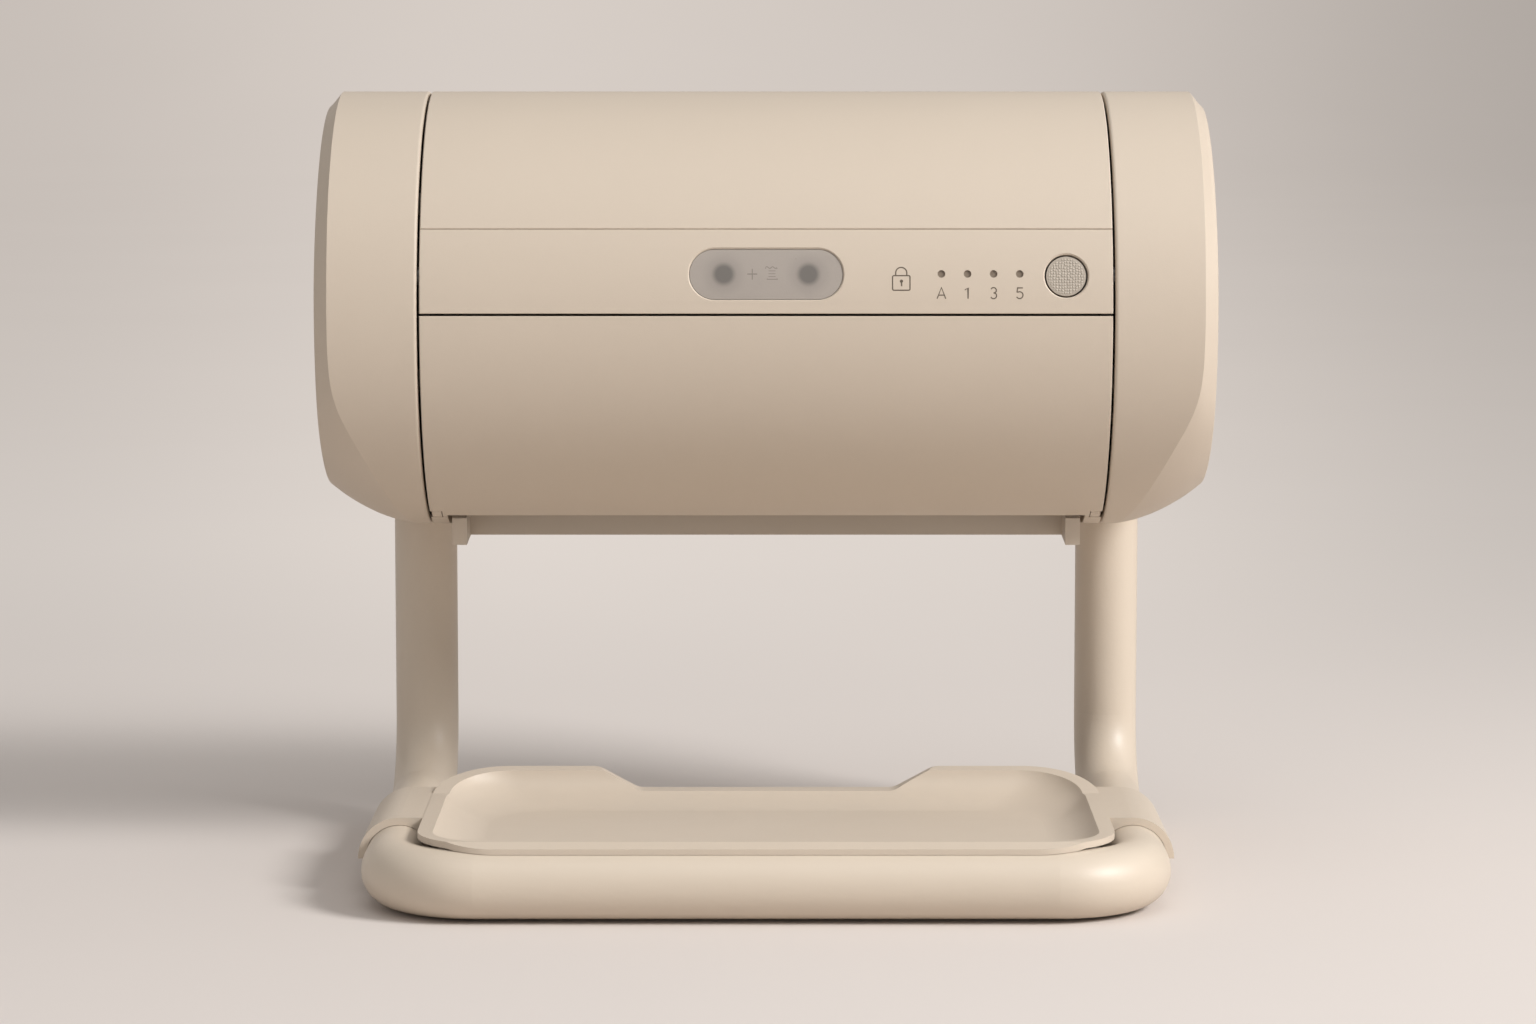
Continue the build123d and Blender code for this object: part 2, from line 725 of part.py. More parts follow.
# Control panel
board_posts = [(board_left + post_inset, board_high - post_inset),
               (board_left + post_inset, board_low + post_inset),
               (button_x - button_post_offset, board_high - post_inset),
               (led_first - led_pitch, board_low + post_inset)]
panel_edge = panel_back / cos(radians(panel_half_angle))
with BuildPart() as control_panel:
    with BuildSketch(section(-cover_half)):
        with BuildLine():
            CenterArc((0, 0), drum_radius, panel_top_angle, 2 * panel_half_angle)
            Line(polar(drum_radius, panel_bottom_angle), polar(panel_edge, panel_bottom_angle))
            Line(polar(panel_edge, panel_bottom_angle), polar(panel_edge, panel_top_angle))
            Line(polar(panel_edge, panel_top_angle), polar(drum_radius, panel_top_angle))
        make_face()
    extrude(amount=2 * cover_half)
    fillet(rounded_ends(control_panel, drum_radius), cover_round)
    with BuildSketch(face_plane(panel_back)):
        with Locations((0, feature_lift)):
            SlotOverall(window_length, window_width)
        for index in range(led_count):
            with Locations((led_first + index * led_pitch, feature_lift)):
                Circle(led_radius)
        with Locations((button_x, button_lift)):
            Circle(button_hole_radius)
    extrude(amount=drum_radius, mode=Mode.SUBTRACT)
    chamfer(seat_edges(control_panel), seat_chamfer)
    for side in (-1, 1):
        with BuildSketch(face_plane(tab_back)):
            with Locations((side * (bulkhead_in - tab_width / 2), 0)):
                Rectangle(tab_width, 2 * tab_half)
        extrude(amount=panel_back - tab_back)
        add(mirrored_rod(screw_radius, bulkhead_in - tab_width, bulkhead_in, tab_screw_point, side),
            mode=Mode.SUBTRACT)
    with BuildSketch(face_plane(board_face)):
        with Locations(*board_posts):
            Circle(board_post_radius)
    extrude(amount=panel_back - board_face)
    with BuildSketch(face_plane(board_face)):
        with Locations(*board_posts):
            Circle(fine_screw_radius)
    extrude(amount=post_bore, mode=Mode.SUBTRACT)
control_panel.part.label = "control_panel"
export_step(control_panel.part, "parts/control_panel.step")

with BuildPart() as sensor_window:
    with BuildSketch(face_plane(panel_back)):
        with Locations((0, feature_lift)):
            SlotOverall(window_length - 2 * fit_gap, window_width - 2 * fit_gap)
    extrude(amount=drum_radius - panel_back)
    add(rod(drum_radius - window_sink, -window_length, window_length, (0, 0)), mode=Mode.INTERSECT)
    with BuildSketch(face_plane(panel_back - flange_wall)):
        with Locations((0, feature_lift)):
            SlotOverall(window_length + 2 * flange_border, window_width + 2 * flange_border)
    extrude(amount=flange_wall)
sensor_window.part.label = "sensor_window"
export_step(sensor_window.part, "parts/sensor_window.step")

with BuildPart() as light_pipe:
    with BuildSketch(face_plane(panel_back)):
        for index in range(led_count):
            with Locations((led_first + index * led_pitch, feature_lift)):
                Circle(led_radius - fit_gap / 3)
    extrude(amount=drum_radius - panel_back)
    add(rod(drum_radius - window_sink, led_first - led_pitch, button_x, (0, 0)), mode=Mode.INTERSECT)
    with BuildSketch(face_plane(panel_back - flange_wall)):
        with Locations((led_first + (led_count - 1) * led_pitch / 2, feature_lift)):
            Rectangle((led_count - 1) * led_pitch + 4 * led_radius, 4 * led_radius)
    extrude(amount=flange_wall)
light_pipe.part.label = "light_pipe"
export_step(light_pipe.part, "parts/light_pipe.step")

# Mode button: a disc in the panel's hole with a flange and a stem behind
button_flange_top = panel_back - fit_gap
button_stem_end = board_face + switch_height + fit_gap
with BuildPart() as mode_button:
    with BuildSketch(face_plane(button_flange_top)):
        with Locations((button_x, button_lift)):
            Circle(button_radius)
    extrude(amount=drum_radius - button_flange_top)
    add(rod(drum_radius - button_dish, button_x - button_radius, button_x + button_radius, (0, 0)),
        mode=Mode.INTERSECT)
    with BuildSketch(face_plane(button_flange_top - flange_wall)):
        with Locations((button_x, button_lift)):
            Circle(button_hole_radius + button_lip)
    extrude(amount=flange_wall)
    with BuildSketch(face_plane(button_stem_end)):
        with Locations((button_x, button_lift)):
            Circle(plunger_radius * 2)
    extrude(amount=button_flange_top - flange_wall - button_stem_end)
mode_button.part.label = "mode_button"
export_step(mode_button.part, "parts/mode_button.step")

with BuildPart() as tact_switch:
    with BuildSketch(face_plane(board_face)):
        with Locations((button_x, button_lift)):
            Rectangle(switch_size, switch_size)
    extrude(amount=switch_height - button_travel - fit_gap)
    with BuildSketch(face_plane(board_face + switch_base)):
        with Locations((button_x, button_lift)):
            Circle(plunger_radius + plunger_bore_gap)
    extrude(amount=switch_height, mode=Mode.SUBTRACT)
tact_switch.part.label = "tact_switch"
export_step(tact_switch.part, "parts/tact_switch.step")

plunger_foot = board_face + switch_base + button_travel + fit_gap
with BuildPart() as switch_plunger:
    with BuildSketch(face_plane(plunger_foot)):
        with Locations((button_x, button_lift)):
            Circle(plunger_radius)
    extrude(amount=button_stem_end - plunger_foot)
switch_plunger.part.label = "switch_plunger"
export_step(switch_plunger.part, "parts/switch_plunger.step")

board_middle_x = (board_left + board_right) / 2
board_middle_y = (board_low + board_high) / 2
with BuildPart() as control_board:
    with BuildSketch(face_plane(board_face - board_wall)):
        with Locations((board_middle_x, board_middle_y)):
            Rectangle(board_right - board_left, board_high - board_low)
        with Locations(*board_posts):
            Circle(fine_screw_radius + screw_clearance, mode=Mode.SUBTRACT)
    extrude(amount=board_wall)
control_board.part.label = "control_board"
export_step(control_board.part, "parts/control_board.step")

with BuildPart() as proximity_sensors:
    with BuildSketch(face_plane(board_face)):
        for x in (-sensor_spacing / 2, sensor_spacing / 2):
            with Locations((x, feature_lift)):
                Circle(sensor_radius)
    extrude(amount=panel_back - flange_wall - assembly_gap - board_face)
    fillet(proximity_sensors.faces().sort_by(Axis(axis_point, outward))[-2:].edges(), sensor_radius / 2)
proximity_sensors.part.label = "proximity_sensors"
export_step(proximity_sensors.part, "parts/proximity_sensors.step")

with BuildPart() as mode_leds:
    with BuildSketch(face_plane(board_face)):
        for index in range(led_count):
            with Locations((led_first + index * led_pitch, feature_lift)):
                Rectangle(2 * led_radius, led_radius)
    extrude(amount=led_radius)
mode_leds.part.label = "mode_leds"
export_step(mode_leds.part, "parts/mode_leds.step")

with BuildPart() as board_chips:
    with BuildSketch(face_plane(board_face - board_wall - chip_wall)):
        with Locations((main_chip_x, board_middle_y)):
            Rectangle(chip_side, chip_side)
        with Locations(*chip_spots):
            Rectangle(small_chip_side, small_chip_side)
    extrude(amount=chip_wall)
board_chips.part.label = "board_chips"
export_step(board_chips.part, "parts/board_chips.step")

with BuildPart() as board_screws:
    with BuildSketch(face_plane(board_face - board_wall - fine_head)):
        with Locations(*board_posts):
            Circle(fine_head_radius)
    extrude(amount=fine_head)
    with BuildSketch(face_plane(board_face - board_wall)):
        with Locations(*board_posts):
            Circle(fine_screw_radius)
    extrude(amount=board_wall + board_screw_bite)
board_screws.part.label = "board_screws"
export_step(board_screws.part, "parts/board_screws.step")

# Cover that keeps moisture off the board
cover_left = board_left - assembly_gap - board_cover_wall
cover_right = bulkhead_in - fit_gap
cover_low = board_low - assembly_gap - board_cover_wall
cover_high = board_high + assembly_gap + board_cover_wall
with BuildPart() as board_cover:
    with BuildSketch(face_plane(cover_back)):
        with Locations(((cover_left + cover_right) / 2, (cover_low + cover_high) / 2)):
            Rectangle(cover_right - cover_left, cover_high - cover_low)
    extrude(amount=panel_back - cover_back)
    with BuildSketch(face_plane(cover_back + board_cover_wall)):
        with Locations((board_left - assembly_gap, board_middle_y)):
            Rectangle(drum_radius * 2, board_high - board_low + 2 * assembly_gap,
                      align=(Align.MIN, Align.CENTER))
    extrude(amount=panel_back - cover_back, mode=Mode.SUBTRACT)
board_cover.part.label = "board_cover"
export_step(board_cover.part, "parts/board_cover.step")

# Outlet guide: a bar and two cheeks under the drum, with a flange inside the shell
with BuildPart() as outlet_guide:
    with BuildSketch(section(-guide_cheek_out)):
        with BuildLine():
            Polyline((-guide_wall, -guide_bar_low), (0, -guide_bar_low), (0, -drum_radius),
                     (guide_flange, -drum_radius), (guide_flange, -guide_inner_top),
                     (-guide_wall, -guide_inner_top), close=True)
        make_face()
        add(band(shell_inner, drum_radius + shell_wall, shell_front_angle,
                 shell_front_angle + guide_cut_angle), mode=Mode.SUBTRACT)
    extrude(amount=2 * guide_cheek_out)
    for side in (-1, 1):
        with BuildSketch(section(side * guide_cheek_in)):
            with BuildLine():
                Polyline((-guide_front, -guide_cheek_top), (-guide_front, -guide_cheek_low),
                         (0, -guide_bar_low), (0, -shell_inner), (-guide_wall, -guide_inner_top),
                         (-guide_front + guide_wall, -guide_inner_top), close=True)
            make_face()
        extrude(amount=side * (guide_cheek_out - guide_cheek_in))
    add(guide_screw_set(), mode=Mode.SUBTRACT)
outlet_guide.part.label = "outlet_guide"
export_step(outlet_guide.part, "parts/outlet_guide.step")

with BuildPart() as guide_screws:
    add(guide_screw_set())
guide_screws.part.label = "guide_screws"
export_step(guide_screws.part, "parts/guide_screws.step")

# Pack cradle: the chamber's floor, with an oval opening above the rollers
cradle_rim = cradle_height + cradle_rise
with BuildPart() as pack_cradle:
    with BuildSketch(section(-bulkhead_in + assembly_gap)):
        with BuildLine():
            Polyline((-cradle_rim_half, cradle_rim), (-cradle_floor_half, cradle_height),
                     (cradle_floor_half, cradle_height), (cradle_rim_half, cradle_rim),
                     (cradle_rim_half - cradle_wall, cradle_rim),
                     (cradle_floor_half - cradle_wall / 2, cradle_height + cradle_wall),
                     (-cradle_floor_half + cradle_wall / 2, cradle_height + cradle_wall),
                     (-cradle_rim_half + cradle_wall, cradle_rim), close=True)
        make_face()
    extrude(amount=2 * (bulkhead_in - assembly_gap))
    with BuildSketch(Plane.XY.offset(axis_height + cradle_height - past)):
        with Locations((0, axis_y - nip_front)):
            SlotOverall(cradle_hole_length, cradle_hole_width)
    extrude(amount=cradle_wall + 2 * past, mode=Mode.SUBTRACT)
pack_cradle.part.label = "pack_cradle"
export_step(pack_cradle.part, "parts/pack_cradle.step")

# Drive roller: shaft, core and three rubber sleeves
gear_end = gear_start + gear_width
with BuildPart() as drive_shaft:
    add(rod(drive_shaft_radius, -bulkhead_out, gear_end + hub_extra, drive_centre))
drive_shaft.part.label = "drive_shaft"
export_step(drive_shaft.part, "parts/drive_shaft.step")

core_radius = drive_radius - sleeve_wall
with BuildPart() as drive_roller:
    add(rod(core_radius, -drive_half, drive_half, drive_centre))
    add(rod(drive_shaft_radius, -drive_half, drive_half, drive_centre), mode=Mode.SUBTRACT)
drive_roller.part.label = "drive_roller"
export_step(drive_roller.part, "parts/drive_roller.step")

with BuildPart() as feed_sleeves:
    for x in (-sleeve_pitch, 0, sleeve_pitch):
        add(rod(drive_radius, x - sleeve_length / 2, x + sleeve_length / 2, drive_centre))
        add(rod(core_radius, x - sleeve_length / 2, x + sleeve_length / 2, drive_centre), mode=Mode.SUBTRACT)
feed_sleeves.part.label = "feed_sleeves"
export_step(feed_sleeves.part, "parts/feed_sleeves.step")

with BuildPart() as drive_gear:
    with BuildSketch(section(gear_start)):
        add(gear_profile(drive_teeth, 0))
    extrude(amount=gear_width)
    add(rod(hub_radius, gear_start, gear_end + hub_extra, (0, 0)))
    add(rod(drive_shaft_radius, gear_start, gear_end + hub_extra, (0, 0)), mode=Mode.SUBTRACT)
    with BuildSketch(section(gear_start)):
        with PolarLocations(web_hole_circle, web_holes):
            Circle(web_hole_radius)
    extrude(amount=gear_width, mode=Mode.SUBTRACT)
drive_gear.part = drive_gear.part.moved(Location((0, drive_y, roller_height)))
drive_gear.part.label = "drive_gear"
export_step(drive_gear.part, "parts/drive_gear.step")

with BuildPart() as pinch_shaft:
    add(rod(pinch_shaft_radius, -bulkhead_out, bulkhead_out, pinch_centre))
pinch_shaft.part.label = "pinch_shaft"
export_step(pinch_shaft.part, "parts/pinch_shaft.step")

with BuildPart() as pinch_roller:
    add(rod(pinch_radius, -pinch_half, pinch_half, pinch_centre))
    add(rod(pinch_shaft_radius, -pinch_half, pinch_half, pinch_centre), mode=Mode.SUBTRACT)
pinch_roller.part.label = "pinch_roller"
export_step(pinch_roller.part, "parts/pinch_roller.step")

clip_out = bulkhead_in - bush_flange_wall - running_gap
for clip_name, shaft_radius, centre in (("drive_clips", drive_shaft_radius, drive_centre),
                                        ("pinch_clips", pinch_shaft_radius, pinch_centre)):
    with BuildPart() as clips:
        for side in (-1, 1):
            add(mirrored_rod(shaft_radius + clip_rim, clip_out - clip_wall, clip_out, centre, side))
            add(mirrored_rod(shaft_radius, clip_out - clip_wall, clip_out, centre, side),
                mode=Mode.SUBTRACT)
    clips.part.label = clip_name
    export_step(clips.part, "parts/" + clip_name + ".step")

# Gearmotor behind the right bulkhead, its shaft and pinion
with BuildPart() as gearmotor:
    add(rod(motor_radius, bulkhead_in - motor_length, bulkhead_in, motor_centre))
    fillet(gearmotor.faces().sort_by(Axis.X)[0].edges(), edge_round)
    add(rod(motor_nose_radius, bulkhead_in, bulkhead_out, motor_centre))
    add(rod(motor_shaft_radius + running_gap, bulkhead_in - motor_shaft_bite, bulkhead_out, motor_centre),
        mode=Mode.SUBTRACT)
    for centre in motor_screw_centres:
        add(rod(screw_radius, bulkhead_in - screw_length / 2, bulkhead_in, centre), mode=Mode.SUBTRACT)
gearmotor.part.label = "gearmotor"
export_step(gearmotor.part, "parts/gearmotor.step")

with BuildPart() as motor_shaft:
    add(rod(motor_shaft_radius, bulkhead_in - motor_shaft_bite + fit_gap, gear_end, motor_centre))
motor_shaft.part.label = "motor_shaft"
export_step(motor_shaft.part, "parts/motor_shaft.step")

with BuildPart() as motor_pinion:
    with BuildSketch(section(gear_start)):
        add(gear_profile(pinion_teeth, 180 / pinion_teeth))
        Circle(motor_shaft_radius, mode=Mode.SUBTRACT)
    extrude(amount=gear_width)
motor_pinion.part = motor_pinion.part.moved(Location((0, motor_y, roller_height)))
motor_pinion.part.label = "motor_pinion"
export_step(motor_pinion.part, "parts/motor_pinion.step")

with BuildPart() as motor_screws:
    for centre in motor_screw_centres:
        add(screw_along_x(bulkhead_out, centre, -1, bulkhead_wall + screw_length / 3))
motor_screws.part.label = "motor_screws"
export_step(motor_screws.part, "parts/motor_screws.step")

# Screws of the shell and panel, from outside the bulkheads, and of the caps, from inside
with BuildPart() as shell_screws:
    for side in (-1, 1):
        for angle in shell_post_angles:
            add(screw_along_x(side * bulkhead_out, polar(shell_post_circle, angle), -side, screw_length))
        add(screw_along_x(side * bulkhead_out, tab_screw_point, -side, bulkhead_wall + tab_width / 2))
shell_screws.part.label = "shell_screws"
export_step(shell_screws.part, "parts/shell_screws.step")

with BuildPart() as cap_screws:
    for side in (-1, 1):
        for angle in cap_post_angles:
            add(screw_along_x(side * bulkhead_in, polar(cap_post_circle, angle), side, screw_length))
cap_screws.part.label = "cap_screws"
export_step(cap_screws.part, "parts/cap_screws.step")

# Battery cells in a holder on the left bulkhead
cell_x = bulkhead_out + holder_wall + cell_radius
with BuildPart() as battery_cells:
    for y in (-cell_radius - fit_gap, cell_radius + fit_gap):
        with BuildSketch(Plane.XY.offset(axis_height + cell_height - cell_length / 2)):
            with Locations((-cell_x, axis_y + y)):
                Circle(cell_radius)
        extrude(amount=cell_length)
battery_cells.part.label = "battery_cells"
export_step(battery_cells.part, "parts/battery_cells.step")

holder_half = 2 * cell_radius + fit_gap + assembly_gap
with BuildPart() as battery_holder:
    with BuildSketch(section(-bulkhead_out)):
        with Locations((0, cell_height)):
            Rectangle(2 * (holder_half + holder_wall), cell_length + 2 * (holder_wall + assembly_gap))
    extrude(amount=-(holder_wall + holder_rise))
    with BuildSketch(section(-bulkhead_out - holder_wall)):
        with Locations((0, cell_height)):
            Rectangle(2 * holder_half, cell_length + 2 * assembly_gap)
    extrude(amount=-holder_rise, mode=Mode.SUBTRACT)
battery_holder.part.label = "battery_holder"
export_step(battery_holder.part, "parts/battery_holder.step")

# Charge inlet
with BuildPart() as charge_board:
    with BuildSketch(Plane(origin=axis_point + port_normal * (port_back - board_wall) + Vector(port_x, 0, 0),
                           x_dir=(1, 0, 0), z_dir=port_normal)):
        Rectangle(port_board_width, port_board_height)
    extrude(amount=board_wall)
charge_board.part.label = "charge_board"
export_step(charge_board.part, "parts/charge_board.step")

with BuildPart() as charge_port:
    with BuildSketch(Plane(origin=axis_point + port_normal * port_back + Vector(port_x, 0, 0),
                           x_dir=(1, 0, 0), z_dir=port_normal)):
        SlotOverall(port_width, port_height)
    extrude(amount=drum_radius - port_back - edge_round)
    with BuildSketch(Plane(origin=axis_point + port_normal * (port_back + holder_wall) + Vector(port_x, 0, 0),
                           x_dir=(1, 0, 0), z_dir=port_normal)):
        SlotOverall(port_width - 2 * port_shell, port_height - 2 * port_shell)
        Rectangle(port_width / 2, port_height / 4, mode=Mode.SUBTRACT)
    extrude(amount=drum_radius, mode=Mode.SUBTRACT)
charge_port.part.label = "charge_port"
export_step(charge_port.part, "parts/charge_port.step")

# Stand: one bent tube, from post to post round the base
post_y = axis_y + post_back
front_y = axis_y - front_tube
tube_end = axis_height - tube_top
path_points = [(-post_x, post_y, tube_end), (-post_x, post_y, tube_height), (-post_x, front_y, tube_height),
               (post_x, front_y, tube_height), (post_x, post_y, tube_height), (post_x, post_y, tube_end)]
path_bends = [post_bend, corner_bend, corner_bend, post_bend]


def tube_form(radius, bore):
    """The stand's tube as a swept ring, or a solid bar when the bore is 0."""
    with BuildPart() as form:
        with BuildLine() as route:
            FilletPolyline(*path_points, radius=path_bends)
        with BuildSketch(Plane(origin=path_points[0], x_dir=(1, 0, 0), z_dir=(0, 0, -1))):
            Circle(radius)
            if bore > 0:
                Circle(bore, mode=Mode.SUBTRACT)
        sweep(path=route.wires()[0])
    return form.part


with BuildPart() as stand_tube:
    add(tube_form(tube_radius, tube_radius - tube_wall))
stand_tube.part.label = "stand_tube"
export_step(stand_tube.part, "parts/stand_tube.step")

with BuildPart() as tube_inserts:
    with BuildSketch(Plane.XY.offset(tube_end - insert_length)):
        with Locations((-post_x, post_y), (post_x, post_y)):
            Circle(tube_radius - tube_wall)
            Circle(stand_bolt_radius, mode=Mode.SUBTRACT)
    extrude(amount=insert_length)
tube_inserts.part.label = "tube_inserts"
export_step(tube_inserts.part, "parts/tube_inserts.step")

with BuildPart() as stand_bolts:
    with BuildSketch(Plane.XY.offset(tube_end - stand_bolt_bite)):
        with Locations((-post_x, post_y), (post_x, post_y)):
            Circle(stand_bolt_radius)
    extrude(amount=axis_height - stand_boss_top - tube_end + stand_bolt_bite)
    with BuildSketch(Plane.XY.offset(axis_height - stand_boss_top)):
        with Locations((-post_x, post_y), (post_x, post_y)):
            Circle(stand_bolt_head_radius)
            RegularPolygon(stand_bolt_radius, 6, mode=Mode.SUBTRACT)
    extrude(amount=stand_bolt_head)
    with BuildSketch(Plane.XY.offset(axis_height - stand_boss_top)):
        with Locations((-post_x, post_y), (post_x, post_y)):
            Circle(stand_bolt_radius)
    extrude(amount=stand_bolt_head / 2)
stand_bolts.part.label = "stand_bolts"
export_step(stand_bolts.part, "parts/stand_bolts.step")

socket_floor = axis_height - socket_low
for side, side_name in ((-1, "left"), (1, "right")):
    with BuildPart() as socket:
        with BuildSketch(Plane.XY.offset(socket_floor)):
            with Locations((side * post_x, post_y)):
                Circle(tube_radius + socket_wall)
        extrude(amount=axis_height - socket_floor)
        fillet(socket.faces().sort_by(Axis.Z)[0].edges(), edge_round)
        add(mirrored_rod(drum_radius, 0, rim_x, (0, 0), side), mode=Mode.SUBTRACT)
        add(cap_form(side, 0), mode=Mode.SUBTRACT)
        with BuildSketch(Plane.XY.offset(socket_floor)):
            with Locations((side * post_x, post_y)):
                Circle(tube_radius)
        extrude(amount=tube_end - socket_floor, mode=Mode.SUBTRACT)
        with BuildSketch(Plane.XY.offset(socket_floor)):
            with Locations((side * post_x, post_y)):
                Circle(stand_bolt_radius + screw_clearance)
        extrude(amount=axis_height - socket_floor, mode=Mode.SUBTRACT)
    socket.part.label = side_name + "_post_socket"
    export_step(socket.part, "parts/" + side_name + "_post_socket.step")

# Foot pads under the tube
back_pad_y = post_y - post_bend - pad_length / 2
front_pad_y = front_y + corner_bend + pad_length / 2
with BuildPart() as foot_pads:
    with BuildSketch(Plane.XY):
        with Locations((-post_x, back_pad_y), (post_x, back_pad_y),
                       (-post_x, front_pad_y), (post_x, front_pad_y)):
            SlotOverall(pad_length, pad_width, rotation=90)
    extrude(amount=pad_proud + pad_wrap)
    add(tube_form(tube_radius, 0), mode=Mode.SUBTRACT)
foot_pads.part.label = "foot_pads"
export_step(foot_pads.part, "parts/foot_pads.step")


def dish_section(share):
    """Rounded outline of the dish, from its floor at share 0 to its rim at share 1."""
    half = tray_half - rim_width - dish_side_slope * (1 - share)
    front = tray_front - front_rim - dish_front_slope * (1 - share)
    back = tray_back + back_rim + dish_back_slope * (1 - share)
    growth = dish_corner_growth * share
    with BuildSketch(Plane.XY) as outline:
        with Locations((0, axis_y - (front + back) / 2)):
            Rectangle(2 * half, front - back)
        fillet(outline.vertices().group_by(Axis.Y)[0], dish_front_corner + growth)
        fillet(outline.vertices().group_by(Axis.Y)[-1], dish_back_corner + growth)
    return outline.sketch


def tray_form(margin, drop):
    """All that lies under the tray's upper surface, wider by the margin and lowered by the drop."""
    low = tray_floor - tray_wall - drop
    top = wing_height + tray_past
    middle = axis_y - (tray_front + tray_back) / 2
    shoulder = dip_half + dip_slope + dip_shoulder
    with BuildPart() as form:
        with BuildSketch(Plane.XY.offset(low)) as outline:
            with Locations((0, middle)):
                Rectangle(2 * (tray_half + margin), tray_front - tray_back + 2 * margin)
            fillet(outline.vertices().group_by(Axis.Y)[0], tray_front_corner + margin)
            fillet(outline.vertices().group_by(Axis.Y)[-1], tray_back_corner + margin)
        extrude(amount=top - low)
        # Everything above the rim, which climbs from the lip to the back wings
        with BuildSketch(Plane.YZ.offset(-tray_half - tray_past)):
            with BuildLine():
                Polyline((axis_y - tray_front - tray_past, lip_height - drop),
                         (axis_y - tray_front, lip_height - drop),
                         (axis_y - tray_front + crest_run, crest_height - drop),
                         (axis_y - wing_start, crest_height - drop),
                         (axis_y - tray_back, wing_height - drop),
                         (axis_y - tray_back + tray_past, wing_height - drop),
                         (axis_y - tray_back + tray_past, top + tray_past),
                         (axis_y - tray_front - tray_past, top + tray_past), close=True)
            make_face()
        extrude(amount=2 * (tray_half + tray_past), mode=Mode.SUBTRACT)
        # The dip in the middle of the back
        with BuildSketch(Plane.XZ.offset(-axis_y + tray_back - past - margin)) as dip:
            with BuildLine():
                Polyline((-dip_half, dip_height - drop), (dip_half, dip_height - drop),
                         (dip_half + dip_slope, wing_height - drop), (shoulder, wing_height - drop),
                         (shoulder, top + past), (-shoulder, top + past), (-shoulder, wing_height - drop),
                         (-dip_half - dip_slope, wing_height - drop), close=True)
            make_face()
            fillet(dip.vertices().filter_by(lambda v: abs(v.X) < shoulder - past), dip_round)
        extrude(amount=dip_depth, mode=Mode.SUBTRACT)
        # The dish
        for share, rise in dish_levels:
            with BuildSketch(Plane.XY.offset(tray_floor + rise - drop)):
                add(dish_section(share))
        loft(mode=Mode.SUBTRACT)
    return form.part


saddle_inner = tube_radius + saddle_gap
saddle_outer = saddle_inner + saddle_wall
with BuildPart() as catch_tray:
    add(tray_form(0.0, 0.0))
    add(tray_form(past, tray_wall), mode=Mode.SUBTRACT)
    for side in (-1, 1):
        with BuildSketch(Plane.XZ.offset(-axis_y + saddle_back)):
            with Locations((side * post_x, tube_height)):
                Circle(saddle_outer)
                Rectangle(4 * saddle_outer, saddle_outer, align=(Align.CENTER, Align.MAX),
                          mode=Mode.SUBTRACT)
            with Locations((side * (tray_half - saddle_overlap), tube_height + saddle_outer)):
                Rectangle(post_x - tray_half + saddle_overlap, saddle_wall,
                          align=(Align.MIN if side > 0 else Align.MAX, Align.MAX))
        extrude(amount=saddle_front - saddle_back)
    add(tube_form(saddle_inner, 0), mode=Mode.SUBTRACT)
catch_tray.part.label = "catch_tray"
export_step(catch_tray.part, "parts/catch_tray.step")
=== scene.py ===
# %% [markdown]
# # A wipes dispenser, dressed in Blender
# The imported CAD model gives every solid of the dispenser in its real place. This lesson adds what
# the solids lack: the finish of each material, the printed signs, rings of painted shade round the
# lamps and the studio.
# The new pieces line up with the solids because both share one frame in metres. Colours, lamps
# and the places of the signs were matched to a photograph.

# %% Load the frame
import math

import bmesh
import bpy
from mathutils import Matrix, Vector


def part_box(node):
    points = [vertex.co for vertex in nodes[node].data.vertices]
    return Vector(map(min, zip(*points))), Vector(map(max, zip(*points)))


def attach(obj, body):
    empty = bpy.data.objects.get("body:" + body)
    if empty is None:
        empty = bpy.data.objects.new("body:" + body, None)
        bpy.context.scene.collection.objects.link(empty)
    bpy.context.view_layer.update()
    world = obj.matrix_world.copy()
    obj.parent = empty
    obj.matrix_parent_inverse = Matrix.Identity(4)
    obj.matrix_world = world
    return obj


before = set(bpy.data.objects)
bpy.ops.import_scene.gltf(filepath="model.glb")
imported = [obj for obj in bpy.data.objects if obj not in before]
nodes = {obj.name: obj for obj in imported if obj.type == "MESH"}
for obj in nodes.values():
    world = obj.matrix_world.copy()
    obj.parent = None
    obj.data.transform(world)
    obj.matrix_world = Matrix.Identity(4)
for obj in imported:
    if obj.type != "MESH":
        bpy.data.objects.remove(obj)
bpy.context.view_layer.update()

# %% [markdown]
# The drum is a cylinder along X, so most details are placed by its axis and radius. They come
# from two boxes: the rear shell reaches the drum's bottom and its back, and the lid reaches its
# top, so together they give the radius and the axis. The panel is a strip of that cylinder, and
# its details were laid out on a flat plane in front of it, so a helper bends flat work onto the
# drum in the same way as the holes were cut.

# %% The drum's axis and the panel's plane
shell_low, shell_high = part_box("rear_shell")
lid_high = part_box("top_lid")[1]
drum_radius = (lid_high.z - shell_low.z) / 2
axis = Vector((0, shell_high.y - drum_radius, shell_low.z + drum_radius))
MM = 0.001
PANEL_TOP, PANEL_BOTTOM = 155.5, 177.43
PANEL_ANGLE = math.radians((PANEL_TOP + PANEL_BOTTOM) / 2)
outward = Vector((0, math.cos(PANEL_ANGLE), math.sin(PANEL_ANGLE)))
upward = Vector((0, math.sin(PANEL_ANGLE), -math.cos(PANEL_ANGLE)))
print("drum radius", round(drum_radius, 5), "axis", [round(v, 5) for v in axis])


def wrap(mesh, rise=0.0):
    """Bends flat work (x right, y up the panel, z height over the drum) onto the panel."""
    for vertex in mesh.verts:
        x, y, height = vertex.co
        depth = math.sqrt((drum_radius + rise + height) ** 2 - y * y)
        vertex.co = axis + Vector((x, 0, 0)) + upward * y + outward * depth
